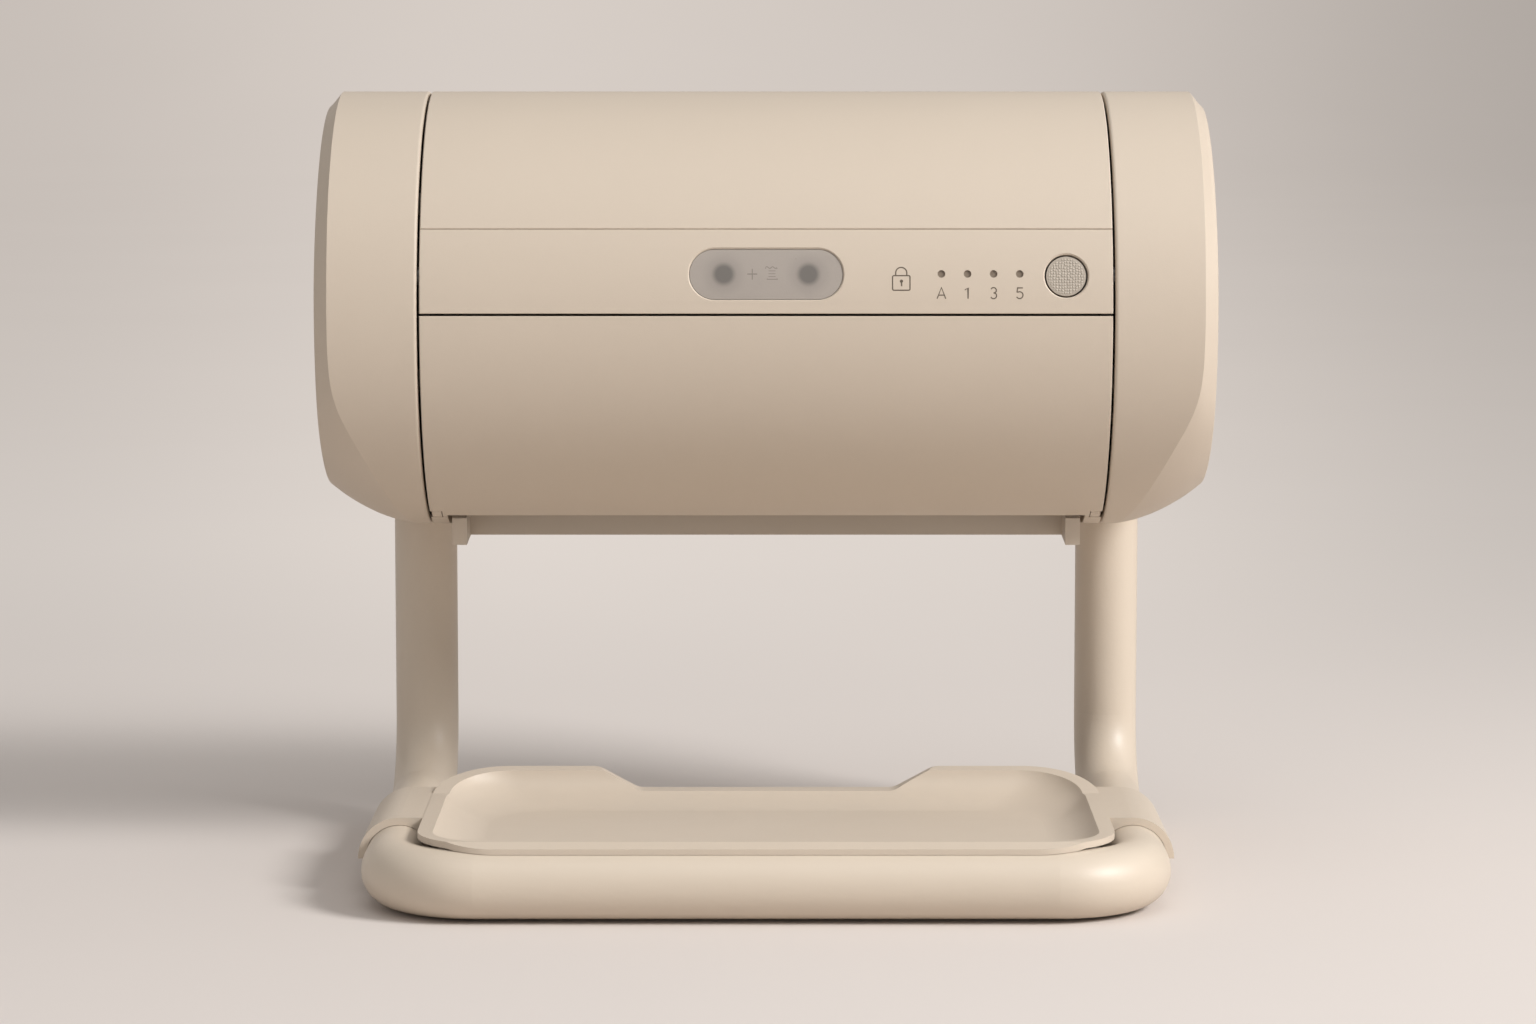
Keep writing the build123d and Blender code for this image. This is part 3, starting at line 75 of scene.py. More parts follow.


# %% [markdown]
# A mesh becomes an object in one place, so that each piece gets smooth shading, a material and a
# body to ride on.

# %% A helper that finishes a piece
SMOOTH_ANGLE = math.radians(35.0)


def finish_piece(name, mesh, material, body):
    """Makes an object of a bmesh, in place, and hands it to the frame."""
    data = bpy.data.meshes.new(name)
    bmesh.ops.recalc_face_normals(mesh, faces=mesh.faces[:])
    mesh.to_mesh(data)
    mesh.free()
    for face in data.polygons:
        face.use_smooth = True
    data.set_sharp_from_angle(angle=SMOOTH_ANGLE)
    data.materials.append(material)
    piece = bpy.data.objects.new(name, data)
    bpy.context.scene.collection.objects.link(piece)
    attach(piece, body)
    print(name, len(data.polygons), "faces")


# %% [markdown]
# Materials are built from nodes, and their maths is written as plain Python. A small class wraps
# one output socket. Adding or multiplying two of them adds a Math node, and every other kind of
# node comes from the method node, which takes its settings first and then its inputs.

# %% A class for shader maths
class Signal:
    """One output socket of a material's node tree."""

    def __init__(self, socket):
        self.socket = socket

    def node(self, kind, settings=None, inputs=None, output=0):
        """Adds a node to the same tree and returns one of its outputs."""
        tree = self.socket.id_data
        made = tree.nodes.new(kind)
        for name, value in (settings or {}).items():
            setattr(made, name, value)
        for key, value in (inputs or {}).items():
            if isinstance(value, Signal):
                tree.links.new(value.socket, made.inputs[key])
            else:
                made.inputs[key].default_value = value
        return Signal(made.outputs[output])

    def math(self, operation, *values):
        return self.node("ShaderNodeMath", {"operation": operation}, dict(enumerate(values)))

    def __add__(self, other):
        return self.math("ADD", self, other)

    __radd__ = __add__

    def __sub__(self, other):
        return self.math("SUBTRACT", self, other)

    def __rsub__(self, other):
        return self.math("SUBTRACT", other, self)

    def __mul__(self, other):
        return self.math("MULTIPLY", self, other)

    __rmul__ = __mul__

    def __truediv__(self, other):
        return self.math("DIVIDE", self, other)

    def __rtruediv__(self, other):
        return self.math("DIVIDE", other, self)

    def size(self):
        return self.math("ABSOLUTE", self)

    def root(self):
        return self.math("SQRT", self)

    def step(self, low, high):
        """0 below low, 1 above high, smooth between."""
        return self.node("ShaderNodeMapRange", {"interpolation_type": "SMOOTHSTEP"},
                         {"Value": self, "From Min": low, "From Max": high})


def noise(place, scale, detail=2.0, rough=0.5, stretch=None):
    """Cloudy noise from -0.5 to 0.5, with scale in features per metre."""
    if stretch:
        place = place.node("ShaderNodeMapping", None, {"Vector": place, "Scale": stretch})
    cloud = place.node("ShaderNodeTexNoise", None, {"Vector": place, "Scale": scale,
                                                    "Detail": detail, "Roughness": rough})
    return cloud - 0.5


def split(place):
    """The three coordinates of a vector."""
    return [place.node("ShaderNodeSeparateXYZ", None, {"Vector": place}, output=part)
            for part in range(3)]


def mix(first, second, share):
    """A colour between two others."""
    return share.node("ShaderNodeMix", {"data_type": "RGBA"},
                      {"Factor": share, 6: first, 7: second}, output=2)


def shade(colour, light):
    """A colour made lighter or darker by a value around 0."""
    black = (0, 0, 0, 1)
    return light.node("ShaderNodeMix", {"data_type": "RGBA", "clamp_factor": False},
                      {"Factor": light + 1.0, 6: black, 7: colour}, output=2)


def new_material(name, roughness, metallic=0.0, **uniform):
    """A Principled material, its shader, and the object coordinates as a signal."""
    material = bpy.data.materials.new(name)
    material.use_nodes = True
    tree = material.node_tree
    shader = tree.nodes["Principled BSDF"]
    shader.inputs["Roughness"].default_value = roughness
    shader.inputs["Metallic"].default_value = metallic
    for socket, value in uniform.items():
        shader.inputs[socket.replace("_", " ")].default_value = value
    place = Signal(tree.nodes.new("ShaderNodeTexCoord").outputs["Object"])
    return material, shader, place


def feed(shader, socket, signal):
    """Links a signal to one socket of the shader."""
    signal.socket.id_data.links.new(signal.socket, shader.inputs[socket])


def bump(height, distance):
    """A normal from a height signal: distance is the real height of a step of 1, in metres."""
    return height.node("ShaderNodeBump", None, {"Height": height, "Distance": distance,
                                                "Strength": 1.0})


# %% [markdown]
# The dispenser's covers are injection moulded in one warm sand colour, with a fine spark-eroded
# grain that breaks up reflections. Grain could be an image, but noise in the object's own
# coordinates has no seams and the same scale on every cover. Three scales work together: a slow
# drift in colour, a cloudy change in gloss, and the grain itself as bump.

# %% Moulded plastic
SAND = (0.585, 0.495, 0.400, 1)
# Inner mouldings are dark plastic, and the dark also stands as painted shade in the seams between
# the covers.
INNER_DARK_AND_SEAM_SHADE = (0.060, 0.055, 0.050, 1)
GRAIN_HEIGHT = 0.00002
COLOUR_DRIFT = 0.03


def moulded(name, colour, roughness, grain=2600.0):
    """Satin moulded plastic with grain, slow colour drift and uneven gloss."""
    material, shader, place = new_material(name, roughness)
    slow = noise(place, 9.0, 3.0) * COLOUR_DRIFT * 2.0
    fine = noise(place, grain * 0.35, 2.0) * COLOUR_DRIFT * 0.6
    feed(shader, "Base Color", shade(colour, slow + fine))
    gloss = noise(place, 60.0, 4.0, 0.6) * 0.12 + noise(place, grain * 0.5, 1.0) * 0.10
    feed(shader, "Roughness", gloss + roughness)
    height = noise(place, grain, 2.0, 0.6) + noise(place, 140.0, 2.0) * 0.6
    feed(shader, "Normal", bump(height, GRAIN_HEIGHT))
    return material


shell_satin = moulded("shell_satin", SAND, 0.52)
# Painted light: the tray's sand is a little lighter than the covers', so its upper faces look more
# lit.
tray_satin = moulded("tray_satin", (0.615, 0.524, 0.426, 1), 0.48, grain=2200.0)
inner_moulding = moulded("inner_moulding", INNER_DARK_AND_SEAM_SHADE, 0.55, grain=1800.0)
print("moulded plastics ready")

# %% [markdown]
# The stand is a steel tube with a powder coat in the sand colour, set a little lighter than the
# covers as painted light, since the lamps leave the posts and the base too dark. Powder melts into
# a skin with a soft orange-peel ripple, a little glossier than the moulded covers, so the ripple is
# a wider and shallower bump with a thin coat on top.

# %% Powder coat
def powder_coat(name, colour):
    """Powder-coated metal: orange peel under a thin satin skin."""
    material, shader, place = new_material(name, 0.46, Coat_Weight=0.12, Coat_Roughness=0.36)
    feed(shader, "Base Color", shade(colour, noise(place, 14.0, 3.0) * 0.05))
    feed(shader, "Roughness", noise(place, 300.0, 2.0) * 0.10 + 0.46)
    height = noise(place, 620.0, 1.0) + noise(place, 2400.0, 1.0) * 0.3
    feed(shader, "Normal", bump(height, 0.00003))
    return material


# Painted light: lighter than SAND, so the posts and the base look more lit.
stand_coat = powder_coat("stand_coat", (0.640, 0.545, 0.440, 1))
print("powder coat ready")

# %% [markdown]
# The bulkheads are dark inside the drum, and that dark, seen down the seams between the covers, is
# also painted shade for the gaps. Their hinge blocks reach the outer skin beside the door's lower
# corners. There they show the sand colour, so the dark stops just under the skin.

# %% Bulkheads
SKIN_START, SKIN_END = 67.5 * MM, 67.7 * MM
bulkhead_moulding, bulkhead_shader, bulkhead_place = new_material("bulkhead_moulding", 0.54)
_, bulkhead_y, bulkhead_z = split(bulkhead_place)
from_y, from_z = bulkhead_y - axis.y, bulkhead_z - axis.z
at_skin = (from_y * from_y + from_z * from_z).root().step(SKIN_START, SKIN_END)
feed(bulkhead_shader, "Base Color", mix(INNER_DARK_AND_SEAM_SHADE, SAND, at_skin))
feed(bulkhead_shader, "Normal", bump(noise(bulkhead_place, 1800.0, 2.0), GRAIN_HEIGHT))
print("bulkheads turn sand above", round(SKIN_START, 4))

# %% [markdown]
# The sensor window is a pill of milky plastic. Behind it sit two round proximity sensors, and
# they show as soft dark spots. Real transmission would blur them by chance of the light, and the
# exported model could not carry it, so the spots are painted into the colour: the distance to
# each sensor's middle, smoothed, darkens the milky grey.

# %% Frosted window
def across_panel(place):
    """The panel's own flat coordinates of a surface point: x to the right and y up."""
    x, y, z = split(place)
    return x, (y - axis.y) * upward.y + (z - axis.z) * upward.z


def distance_to(x, y, centre):
    """Distance on the panel to a point, in metres."""
    across, along = x - centre[0], y - centre[1]
    return (across * across + along * along).root()


SENSOR_X = 13.2 * MM
FEATURE_LIFT = -1.0 * MM
window_frost, frost_shader, frost_place = new_material("window_frost", 0.30, Coat_Weight=0.3,
                                                       Coat_Roughness=0.12)
window_x, window_y = across_panel(frost_place)
spots = None
for centre_x in (-SENSOR_X, SENSOR_X):
    from_sensor = distance_to(window_x, window_y, (centre_x, FEATURE_LIFT))
    spot = 1.0 - from_sensor.step(1.6 * MM, 4.4 * MM)
    halo = (1.0 - from_sensor.step(3.0 * MM, 8.0 * MM)) * 0.25
    spots = spot + halo if spots is None else spots + spot + halo
cloud = noise(frost_place, 90.0, 3.0) * 0.10
frost = shade((0.375, 0.330, 0.292, 1), cloud + noise(frost_place, 1800.0) * 0.05)
feed(frost_shader, "Base Color", mix(frost, (0.165, 0.150, 0.135, 1), spots * 0.95))
feed(frost_shader, "Roughness", noise(frost_place, 500.0, 2.0) * 0.1 + 0.30)
feed(frost_shader, "Normal", bump(noise(frost_place, 900.0, 2.0), 0.000008))
print("window sensors at x", SENSOR_X)

# %% [markdown]
# The mode button is a disc with a pattern of tiny raised dots, for a fingertip to find. Voronoi
# cells on the panel's flat coordinates make an even, slightly irregular field of dots, and the
# pattern stops short of the rim.

# %% Dotted button
BUTTON = (93.5 * MM, -1.6 * MM)
button_grain, grain_shader, grain_place = new_material("button_grain", 0.5)
button_x, button_y = across_panel(grain_place)
flat = button_x.node("ShaderNodeCombineXYZ", None, {"X": button_x, "Y": button_y})
cells = flat.node("ShaderNodeTexVoronoi", {"voronoi_dimensions": "2D"},
                  {"Vector": flat, "Scale": 1150.0, "Randomness": 0.35})
rim_fade = 1.0 - distance_to(button_x, button_y, BUTTON).step(5.2 * MM, 5.9 * MM)
dots = (1.0 - cells.step(0.15, 0.55)) * rim_fade
feed(grain_shader, "Base Color", mix((0.400, 0.348, 0.288, 1), (0.480, 0.415, 0.342, 1), dots))
feed(grain_shader, "Roughness", 0.6 - dots * 0.15)
feed(grain_shader, "Normal", bump(dots, 0.00016))
print("button centred at", BUTTON)


# %% [markdown]
# Metals inside are turned or drawn, so their marks run round the shafts. Noise squeezed along X
# gives rings on every rod that lies along the drum, and a wider noise lets the gloss wander.

# %% Metals
def turned_metal(name, colour, roughness, stretch=(14000.0, 60.0, 60.0)):
    """Bare metal with fine turning marks."""
    material, shader, place = new_material(name, roughness, 1.0)
    marks = noise(place, 1.0, 2.0, 0.6, stretch)
    feed(shader, "Base Color", shade(colour, marks * 0.10 + noise(place, 40.0, 3.0) * 0.08))
    feed(shader, "Roughness", marks * 0.18 + noise(place, 120.0, 3.0) * 0.12 + roughness)
    feed(shader, "Normal", bump(marks, 0.000006))
    return material


steel_turned = turned_metal("steel_turned", (0.56, 0.56, 0.54, 1), 0.32)
nickel = turned_metal("nickel", (0.66, 0.63, 0.57, 1), 0.18, (300.0, 300.0, 300.0))
screw_steel = turned_metal("screw_steel", (0.46, 0.46, 0.45, 1), 0.38, (900.0, 900.0, 900.0))


# %% [markdown]
# Rubber, nylon, acetal and the boards are hidden inside or underneath, but each still has its own
# grain: rubber is dark and dusty, the nylon gear is waxy, and the boards carry traces and a
# solder mask.

# %% Rubber and engineering plastics
def rubbery(name, colour, roughness):
    """Matt rubber with a fine skin and a trace of dust in patches."""
    material, shader, place = new_material(name, roughness)
    dust = noise(place, 70.0, 4.0, 0.6).step(0.0, 0.4)
    feed(shader, "Base Color", mix(colour, tuple(c * 0.8 + 0.06 for c in colour[:3]) + (1,), dust))
    feed(shader, "Roughness", dust * 0.12 + roughness)
    feed(shader, "Normal", bump(noise(place, 1500.0, 3.0, 0.6), 0.00003))
    return material


def waxy(name, colour, roughness):
    """Smooth engineering plastic with a faint flow pattern."""
    material, shader, place = new_material(name, roughness)
    flow = noise(place, 60.0, 4.0, 0.6, (1.0, 3.0, 1.0))
    feed(shader, "Base Color", shade(colour, flow * 0.08))
    feed(shader, "Roughness", flow * 0.15 + roughness)
    feed(shader, "Normal", bump(noise(place, 700.0, 2.0), 0.00001))
    return material


pad_rubber = rubbery("pad_rubber", (0.030, 0.029, 0.028, 1), 0.78)
seal_soft = rubbery("seal_soft", (0.250, 0.230, 0.205, 1), 0.70)
bearing_acetal = waxy("bearing_acetal", (0.70, 0.67, 0.60, 1), 0.35)
gear_nylon = waxy("gear_nylon", (0.74, 0.72, 0.64, 1), 0.40)
clear_moulding = waxy("clear_moulding", (0.52, 0.50, 0.46, 1), 0.25)
led_lens = waxy("led_lens", (0.215, 0.170, 0.128, 1), 0.28)
sensor_lens = waxy("sensor_lens", (0.020, 0.012, 0.016, 1), 0.12)
chip_epoxy = moulded("chip_epoxy", (0.018, 0.018, 0.018, 1), 0.60, grain=3000.0)
print("rubber and plastics ready")

# %% Boards
board_mask, board_shader, board_place = new_material("board_mask", 0.34, Coat_Weight=0.4,
                                                     Coat_Roughness=0.2)
traces = board_place.node("ShaderNodeTexBrick", {"offset": 0.37, "squash": 1.6},
                          {"Vector": board_place, "Scale": 190.0, "Mortar Size": 0.012,
                           "Mortar Smooth": 0.3}, output=1)
drill = board_place.node("ShaderNodeTexVoronoi", None, {"Vector": board_place, "Scale": 320.0})
vias = 1.0 - drill.step(0.10, 0.16)
copper = mix((0.012, 0.075, 0.030, 1), (0.022, 0.125, 0.050, 1), traces)
feed(board_shader, "Base Color", mix(copper, (0.55, 0.50, 0.38, 1), vias))
feed(board_shader, "Roughness", 0.34 - vias * 0.1)
feed(board_shader, "Normal", bump(traces + vias * 0.5, 0.00002))
print("solder mask ready")

# %% [markdown]
# Each rechargeable cell is a steel can in a shrink sleeve. The sleeve is blue and stops short of
# both ends, where the bare can shows, so the height along the cell chooses between the two.

# %% Cells
cell_low, cell_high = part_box("battery_cells")
cell_wrap, cell_shader, cell_place = new_material("cell_wrap", 0.30)
cell_up = split(cell_place)[2]
cell_middle = (cell_low.z + cell_high.z) / 2
STRIPE_HEIGHT = 0.018
bare = (cell_up - cell_middle).size().step(29.5 * MM, 29.9 * MM)
stripe = 1.0 - (cell_up - cell_middle - STRIPE_HEIGHT).size().step(1.9 * MM, 2.1 * MM)
sleeve = mix((0.030, 0.120, 0.260, 1), (0.70, 0.70, 0.68, 1), stripe)
feed(cell_shader, "Base Color", mix(sleeve, (0.52, 0.52, 0.50, 1), bare))
feed(cell_shader, "Metallic", bare)
feed(cell_shader, "Roughness", noise(cell_place, 200.0, 3.0) * 0.15 + 0.30)
feed(cell_shader, "Normal", bump(noise(cell_place, 240.0, 2.0, 0.5, (1, 1, 0.3)), 0.00003))
print("cells centred at z", round(cell_middle, 4))

# %% [markdown]
# Every node of the frame now gets the finish of its real material. The table is short because
# most covers share one moulding colour.

# %% Give every node its finish
finishes = {
    shell_satin: ["top_lid", "rear_shell", "front_door", "control_panel", "left_end_cap",
                  "right_end_cap", "outlet_guide", "left_post_socket", "right_post_socket"],
    tray_satin: ["catch_tray"],
    stand_coat: ["stand_tube"],
    bulkhead_moulding: ["left_bulkhead", "right_bulkhead"],
    inner_moulding: ["pack_cradle", "board_cover", "battery_holder", "drive_roller",
                     "pinch_roller"],
    window_frost: ["sensor_window"],
    button_grain: ["mode_button"],
    steel_turned: ["lid_hinge_pins", "door_pins", "drive_shaft", "pinch_shaft", "drive_clips",
                   "pinch_clips", "gearmotor", "motor_shaft", "tube_inserts", "charge_port"],
    screw_steel: ["shell_screws", "cap_screws", "guide_screws", "board_screws", "motor_screws",
                  "stand_bolts"],
    nickel: ["lid_magnets", "door_magnets", "catch_magnets"],
    pad_rubber: ["foot_pads", "feed_sleeves"],
    seal_soft: ["rim_seals"],
    bearing_acetal: ["drive_bushes", "pinch_bushes"],
    gear_nylon: ["drive_gear", "motor_pinion"],
    clear_moulding: ["switch_plunger", "mode_leds"],
    led_lens: ["light_pipe"],
    sensor_lens: ["proximity_sensors"],
    chip_epoxy: ["tact_switch", "board_chips"],
    board_mask: ["control_board", "charge_board"],
    cell_wrap: ["battery_cells"],
}
for material, names in finishes.items():
    for name in names:
        data = nodes[name].data
        data.materials.clear()
        data.materials.append(material)
finished = sum(len(names) for names in finishes.values())
print("finished", finished, "of", len(nodes), "nodes")

# %% [markdown]
# The signs on the panel are printed in a thin brown ink: a closed padlock, and under the four
# lamps the modes A, 1, 3 and 5. Painting them into the shell's colour would need a texture, so
# each is a skin of ink, a few hundredths of a millimetre thick. Strokes are drawn flat as ribbons
# of an even width, and the wrap helper then lays them on the drum.

# %% The ink
sign_ink, ink_shader, ink_place = new_material("sign_ink", 0.50)
ink_drift = noise(ink_place, 700.0, 3.0) * 0.25
feed(ink_shader, "Base Color", shade((0.120, 0.092, 0.066, 1), ink_drift))
feed(ink_shader, "Roughness", noise(ink_place, 900.0, 2.0) * 0.2 + 0.50)
feed(ink_shader, "Normal", bump(noise(ink_place, 2500.0, 2.0), 0.000008))
INK_RISE = 0.015 * MM
INK_DEPTH = 0.04 * MM


def arc(centre, radius, start, end, steps=16):
    """Points of an arc, with its angles in degrees."""
    turns = [math.radians(start + (end - start) * step / steps) for step in range(steps + 1)]
    return [(centre[0] + radius * math.cos(t), centre[1] + radius * math.sin(t)) for t in turns]


def stroke(mesh, points, width, closed=False):
    """A flat ribbon along points, with an equal reach to both sides of them."""
    spots = [Vector((x, y, 0)) for x, y in points]
    count = len(spots)
    rails = []
    for index, spot in enumerate(spots):
        back = spots[index - 1] if index or closed else spot
        ahead = spots[(index + 1) % count] if index + 1 < count or closed else spot
        run = (ahead - back).normalized()
        turn_in = (spot - back).normalized() if spot != back else run
        reach = width / 2 / max(0.6, run.dot(turn_in))
        aside = Vector((-run.y, run.x, 0)) * reach
        rails.append((mesh.verts.new(spot + aside), mesh.verts.new(spot - aside)))
    edges = [mesh.edges.new(pair) for pair in rails]
    pairs = list(zip(edges, edges[1:] + edges[:1])) if closed else list(zip(edges, edges[1:]))
    for first, second in pairs:
        bmesh.ops.bridge_loops(mesh, edges=[first, second])


def thicken(mesh, depth):
    """Gives flat work a thickness upwards."""
    bmesh.ops.remove_doubles(mesh, verts=mesh.verts[:], dist=1e-7)
    top = bmesh.ops.extrude_face_region(mesh, geom=mesh.faces[:])["geom"]
    bmesh.ops.translate(mesh, verts=[g for g in top if isinstance(g, bmesh.types.BMVert)],
                        vec=(0, 0, depth))


def place_flat(mesh, x, y):
    """Turns flat work that was drawn in millimetres into metres and moves it over the panel."""
    bmesh.ops.scale(mesh, verts=mesh.verts[:], vec=(MM, MM, MM))
    bmesh.ops.translate(mesh, verts=mesh.verts[:], vec=(x, y, 0))


# %% [markdown]
# The padlock's body is a closed line with rounded corners and its shackle is an open one. The
# keyhole is a dot with a short tail.

# %% The padlock
def rounded_box(half_width, half_height, radius):
    """Points round a rectangle with rounded corners."""
    points = []
    for corner, (sx, sy) in enumerate(((1, 1), (-1, 1), (-1, -1), (1, -1))):
        centre = (sx * (half_width - radius), sy * (half_height - radius))
        points += arc(centre, radius, 90 * corner, 90 * corner + 90, 5)
    return points


def disc(mesh, centre, radius):
    """A filled circle."""
    made = bmesh.ops.create_circle(mesh, cap_ends=True, segments=20, radius=radius)["verts"]
    bmesh.ops.translate(mesh, verts=made, vec=(centre[0], centre[1], 0))


PADLOCK = (42.1 * MM, -2.5 * MM)
LOCK_WIDTH = 0.38
BODY_DROP = 1.32
SHACKLE_RADIUS = 1.72
padlock_flat = bmesh.new()
lock_body = [(x, y - BODY_DROP) for x, y in rounded_box(2.72, 2.28, 0.45)]
stroke(padlock_flat, lock_body, LOCK_WIDTH, closed=True)
bow = arc((0, 1.85), SHACKLE_RADIUS, 0, 180)
shackle = [(SHACKLE_RADIUS, 1.05)] + bow + [(-SHACKLE_RADIUS, 1.05)]
stroke(padlock_flat, shackle, LOCK_WIDTH)
disc(padlock_flat, (0.06, -0.78), 0.52)
stroke(padlock_flat, [(0.08, -1.1), (0.12, -2.35)], 0.42)
thicken(padlock_flat, INK_DEPTH / MM)
place_flat(padlock_flat, *PADLOCK)
wrap(padlock_flat, INK_RISE)
finish_piece("padlock_sign", padlock_flat, sign_ink, "frame")

# %% [markdown]
# The four labels are thin shapes of one stroke width. A font could give them, but here they are
# drawn with the same ribbons and arcs as the padlock, so the line weight is a single number.

# %% The mode labels
labels = {
    "A": [[(-1.35, -1.72), (0, 1.72), (1.35, -1.72)], [(-0.92, -0.62), (0.92, -0.62)]],
    "1": [[(-0.85, 0.98), (0.16, 1.62), (0.16, -1.72)]],
    "3": [arc((-0.02, 0.86), 0.86, 155, -90), arc((-0.02, -0.80), 0.92, 90, -155)],
    "5": [[(0.98, 1.62), (-0.70, 1.62), (-0.86, 0.20)], arc((-0.05, -0.62), 1.06, 128, -150)],
}
LED_FIRST, LED_PITCH = 54.6 * MM, 8.13 * MM
LABEL_WIDTH, LABEL_LIFT = 0.36, -7.0 * MM
for index, (text, strokes) in enumerate(labels.items()):
    label_flat = bmesh.new()
    for points in strokes:
        stroke(label_flat, points, LABEL_WIDTH)
    thicken(label_flat, INK_DEPTH / MM)
    place_flat(label_flat, LED_FIRST + index * LED_PITCH, LABEL_LIFT)
    wrap(label_flat, INK_RISE)
    finish_piece("label_" + text, label_flat, sign_ink, "frame")

# %% [markdown]
# In the milky window two small marks are printed: a plus, and a wipe drawn as a sheet with a wavy
# top edge and three lines. They are paler than the signs outside, so their ink is a darker shade
# of the window's own grey.

# %% Marks in the window
window_ink, mark_shader, mark_place = new_material("window_ink", 0.35)
mark_drift = noise(mark_place, 500.0, 2.0) * 0.2
feed(mark_shader, "Base Color", shade((0.225, 0.198, 0.172, 1), mark_drift))
feed(mark_shader, "Roughness", noise(mark_place, 500.0, 2.0) * 0.1 + 0.35)
WINDOW_SINK = 0.5 * MM
MARK_RISE = 0.004 * MM
MARK_DEPTH = 0.02
SHEET_WIDTH = 0.26

marks_flat = bmesh.new()
stroke(marks_flat, [(-5.85, -0.95), (-2.75, -0.95)], 0.36)
stroke(marks_flat, [(-4.3, 0.7), (-4.3, -0.77)], 0.32)
stroke(marks_flat, [(-4.3, -1.13), (-4.3, -2.7)], 0.32)
wave = [(-0.2 + 0.3 * k, 1.1 + 0.28 * math.sin(k * 1.05)) for k in range(13)]
stroke(marks_flat, wave, SHEET_WIDTH)
stroke(marks_flat, [(-0.2, 0.95), (0.35, -2.6), (3.5, -2.6), (3.4, 0.95)], SHEET_WIDTH)
for height in (0.05, -0.85, -1.75):
    stroke(marks_flat, [(0.75, height), (2.95, height)], 0.2)
thicken(marks_flat, MARK_DEPTH)
place_flat(marks_flat, 0, 0)
wrap(marks_flat, MARK_RISE - WINDOW_SINK)
finish_piece("window_marks", marks_flat, window_ink, "frame")

# %% [markdown]
# Each lamp is a small light pipe that ends a little under the surface. A dark ring sits at the
# bottom of the gap round it as painted shade, for the shade in the lamp's recess. The ring is a
# small circle spun round the lamp's middle.

# %% Painted shade rings round the lamps
def ring(radius, tube):
    """A torus, spun from a circle of eight vertices."""
    mesh = bmesh.new()
    upright = Matrix.Translation((radius, 0, 0)) @ Matrix.Rotation(math.pi / 2, 4, "X")
    bmesh.ops.create_circle(mesh, segments=8, radius=tube, matrix=upright)
    bmesh.ops.spin(mesh, geom=mesh.verts[:] + mesh.edges[:], cent=(0, 0, 0), axis=(0, 0, 1),
                   angle=2 * math.pi, steps=40, use_merge=True, use_duplicate=False)
    return mesh


RING_RADIUS, RING_TUBE, RING_SINK = 1.10, 0.09, 0.42 * MM
# Painted shade: the ring's dark brown stands for the shade down the gap round each light pipe.
lamp_recess_shade, lamp_shader, lamp_place = new_material("lamp_recess_shade", 0.45)
lamp_drift = noise(lamp_place, 600.0, 2.0) * 0.2
feed(lamp_shader, "Base Color", shade((0.250, 0.192, 0.142, 1), lamp_drift))
feed(lamp_shader, "Roughness", noise(lamp_place, 800.0, 2.0) * 0.15 + 0.45)
for index in range(len(labels)):
    lamp_flat = ring(RING_RADIUS, RING_TUBE)
    place_flat(lamp_flat, LED_FIRST + index * LED_PITCH, FEATURE_LIFT)
    wrap(lamp_flat, -RING_SINK)
    finish_piece("lamp_recess_shade_" + str(index + 1), lamp_flat, lamp_recess_shade, "frame")

# %% [markdown]
# The studio is a pale seamless sweep: a floor that curves up into a wall behind, so no line shows
# where they meet. A floor edge is spun through the corner, raised into a wall, and then pulled
# sideways into a wide sheet.

# %% Floor and backdrop
SWEEP_SIDE = 9.0
SWEEP_FRONT, SWEEP_BEND = -3.0, 5.0
BEND_RADIUS = 1.8
WALL_RISE = 3.0


def backdrop():
    """A strip in the YZ plane, from the front edge over the bend to the wall's top, made wide."""
    mesh = bmesh.new()
    front = mesh.verts.new((-SWEEP_SIDE, SWEEP_FRONT, 0))
    bend = mesh.verts.new((-SWEEP_SIDE, SWEEP_BEND, 0))
    mesh.edges.new((front, bend))
    bmesh.ops.spin(mesh, geom=[bend], cent=(-SWEEP_SIDE, SWEEP_BEND, BEND_RADIUS), axis=(1, 0, 0),
                   angle=math.radians(90), steps=32, use_merge=False, use_duplicate=False)
    top = max(mesh.verts, key=lambda v: v.co.y + v.co.z)
    raised = bmesh.ops.extrude_vert_indiv(mesh, verts=[top])["verts"]
    bmesh.ops.translate(mesh, verts=raised, vec=(0, 0, WALL_RISE))
    side = bmesh.ops.extrude_edge_only(mesh, edges=mesh.edges[:])["geom"]
    bmesh.ops.translate(mesh, verts=[g for g in side if isinstance(g, bmesh.types.BMVert)],
                        vec=(2 * SWEEP_SIDE, 0, 0))
    return mesh


paper, paper_shader, paper_place = new_material("paper", 0.9, Specular_IOR_Level=0.1)
paper_x, paper_y, _ = split(paper_place)
mottle = noise(paper_place, 900.0, 2.0) * 0.02 + noise(paper_place, 3.0, 3.0) * 0.03
feed(paper_shader, "Base Color", shade((0.700, 0.640, 0.600, 1), mottle))

# %% [markdown]
# Far behind the object the lamps no longer reach the paper, so there the camera and the glossy
# reflections see a soft glow instead, which lights nothing else. It is palest in the middle and
# darkens with distance and to the sides. Near the object the real paper keeps the shadow.

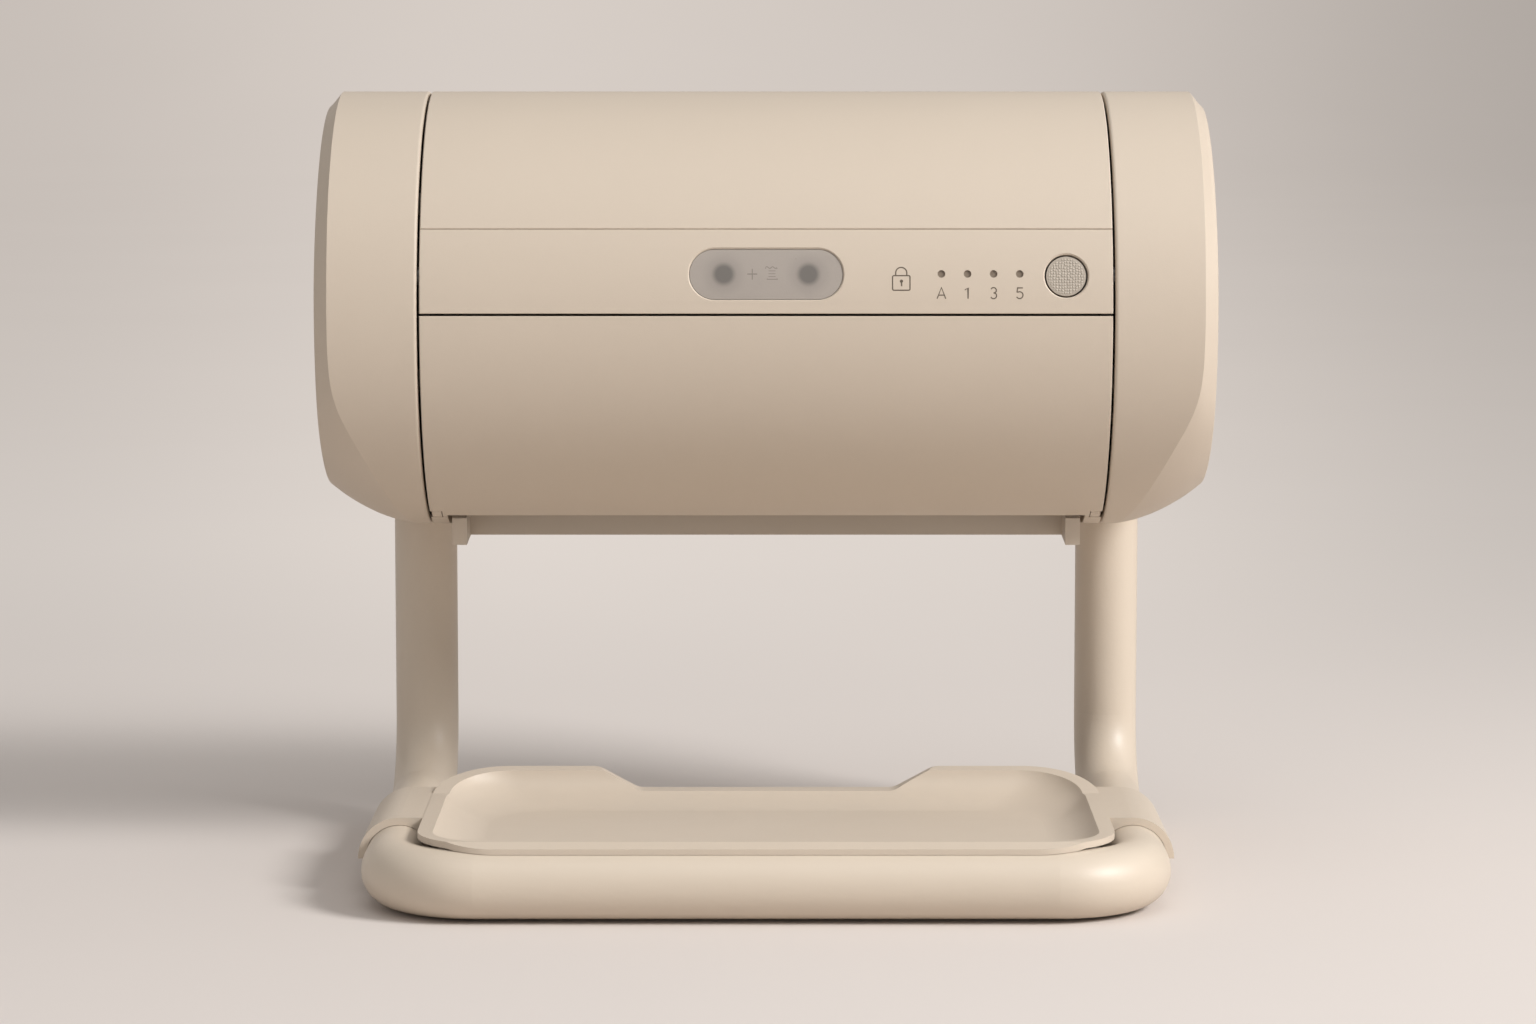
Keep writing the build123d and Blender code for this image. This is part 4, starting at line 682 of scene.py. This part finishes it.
# %% The glow of the backdrop
away = 1.0 - (0.29 / (paper_y + 1.53)).step(0.02, 0.16)
middle_tone = mix((0.760, 0.695, 0.645, 1), (0.645, 0.584, 0.538, 1), away)
side_tone = mix((0.625, 0.576, 0.538, 1), (0.500, 0.452, 0.416, 1), away)
sideways = (paper_x.size() / (paper_y * 0.16 + 0.25)).step(0.25, 1.1)
glow_tone = shade(mix(middle_tone, side_tone, sideways), paper_x * -0.11 + mottle)
paper_tree = paper.node_tree
rays = paper_tree.nodes.new("ShaderNodeLightPath")
seen = Signal(rays.outputs["Is Camera Ray"]) + Signal(rays.outputs["Is Glossy Ray"])
glow = paper_tree.nodes.new("ShaderNodeEmission")
paper_tree.links.new(glow_tone.socket, glow.inputs["Color"])
blend = paper_tree.nodes.new("ShaderNodeMixShader")
paper_tree.links.new((seen * paper_y.step(-0.05, 0.95)).socket, blend.inputs["Fac"])
paper_tree.links.new(paper_shader.outputs["BSDF"], blend.inputs[1])
paper_tree.links.new(glow.outputs["Emission"], blend.inputs[2])
paper_tree.links.new(blend.outputs["Shader"], paper_tree.nodes["Material Output"].inputs["Surface"])

# %% Make the sweep
sweep_data = bpy.data.meshes.new("sweep")
sweep_mesh = backdrop()
bmesh.ops.recalc_face_normals(sweep_mesh, faces=sweep_mesh.faces[:])
sweep_mesh.to_mesh(sweep_data)
sweep_mesh.free()
sweep_data.materials.append(paper)
for face in sweep_data.polygons:
    face.use_smooth = True
sweep = bpy.data.objects.new("sweep", sweep_data)
bpy.context.scene.collection.objects.link(sweep)
print("sweep has", len(sweep_data.polygons), "strips")

# %% [markdown]
# Light comes from a big soft lamp at the upper right, which brightens the right-hand edges and
# throws the soft shadow to the left and back. A wide lamp overhead gives the drum its falloff
# from a bright top to a darker underside, and the world fills the rest.

# %% Lamps and world
def softbox(name, place, aim, size, power):
    """A square area lamp that faces a point."""
    lamp = bpy.data.lights.new(name, "AREA")
    lamp.size = size
    lamp.energy = power
    holder = bpy.data.objects.new(name, lamp)
    holder.location = place
    holder.rotation_euler = (Vector(aim) - Vector(place)).to_track_quat("-Z", "Y").to_euler()
    bpy.context.scene.collection.objects.link(holder)
    print(name, "at", place, "with", power, "watts")


softbox("key", (1.95, -1.12, 1.60), (0, 0, 0.1), 0.8, 68.0)
softbox("overhead", (0.0, -0.9, 2.4), (0, 0, 0.15), 1.8, 9.0)
world = bpy.data.worlds.new("studio")
bpy.context.scene.world = world
world.use_nodes = True
sky = world.node_tree.nodes["Background"]
sky.inputs["Color"].default_value = (1.0, 0.99, 0.98, 1)
sky.inputs["Strength"].default_value = 0.42

# %% [markdown]
# The camera stands where a long lens gives the same outline as the photograph: a little higher
# than the drum's top, a metre and a half away, tipped down by a few degrees.

# %% Camera
lens = bpy.data.cameras.new("camera")
lens.sensor_width = 36.0
lens.lens = 109.92
CAMERA_TILT = 6.6
CAMERA_DISTANCE = 1.528
lens.clip_start = 0.05
camera = bpy.data.objects.new("camera", lens)
camera.location = (0.0006, axis.y - CAMERA_DISTANCE, 0.288)
camera.rotation_euler = (math.radians(90.0 - CAMERA_TILT), 0, 0)
bpy.context.scene.collection.objects.link(camera)
bpy.context.scene.camera = camera
bpy.context.scene.view_settings.view_transform = "Standard"
print("camera at", [round(v, 4) for v in camera.location])
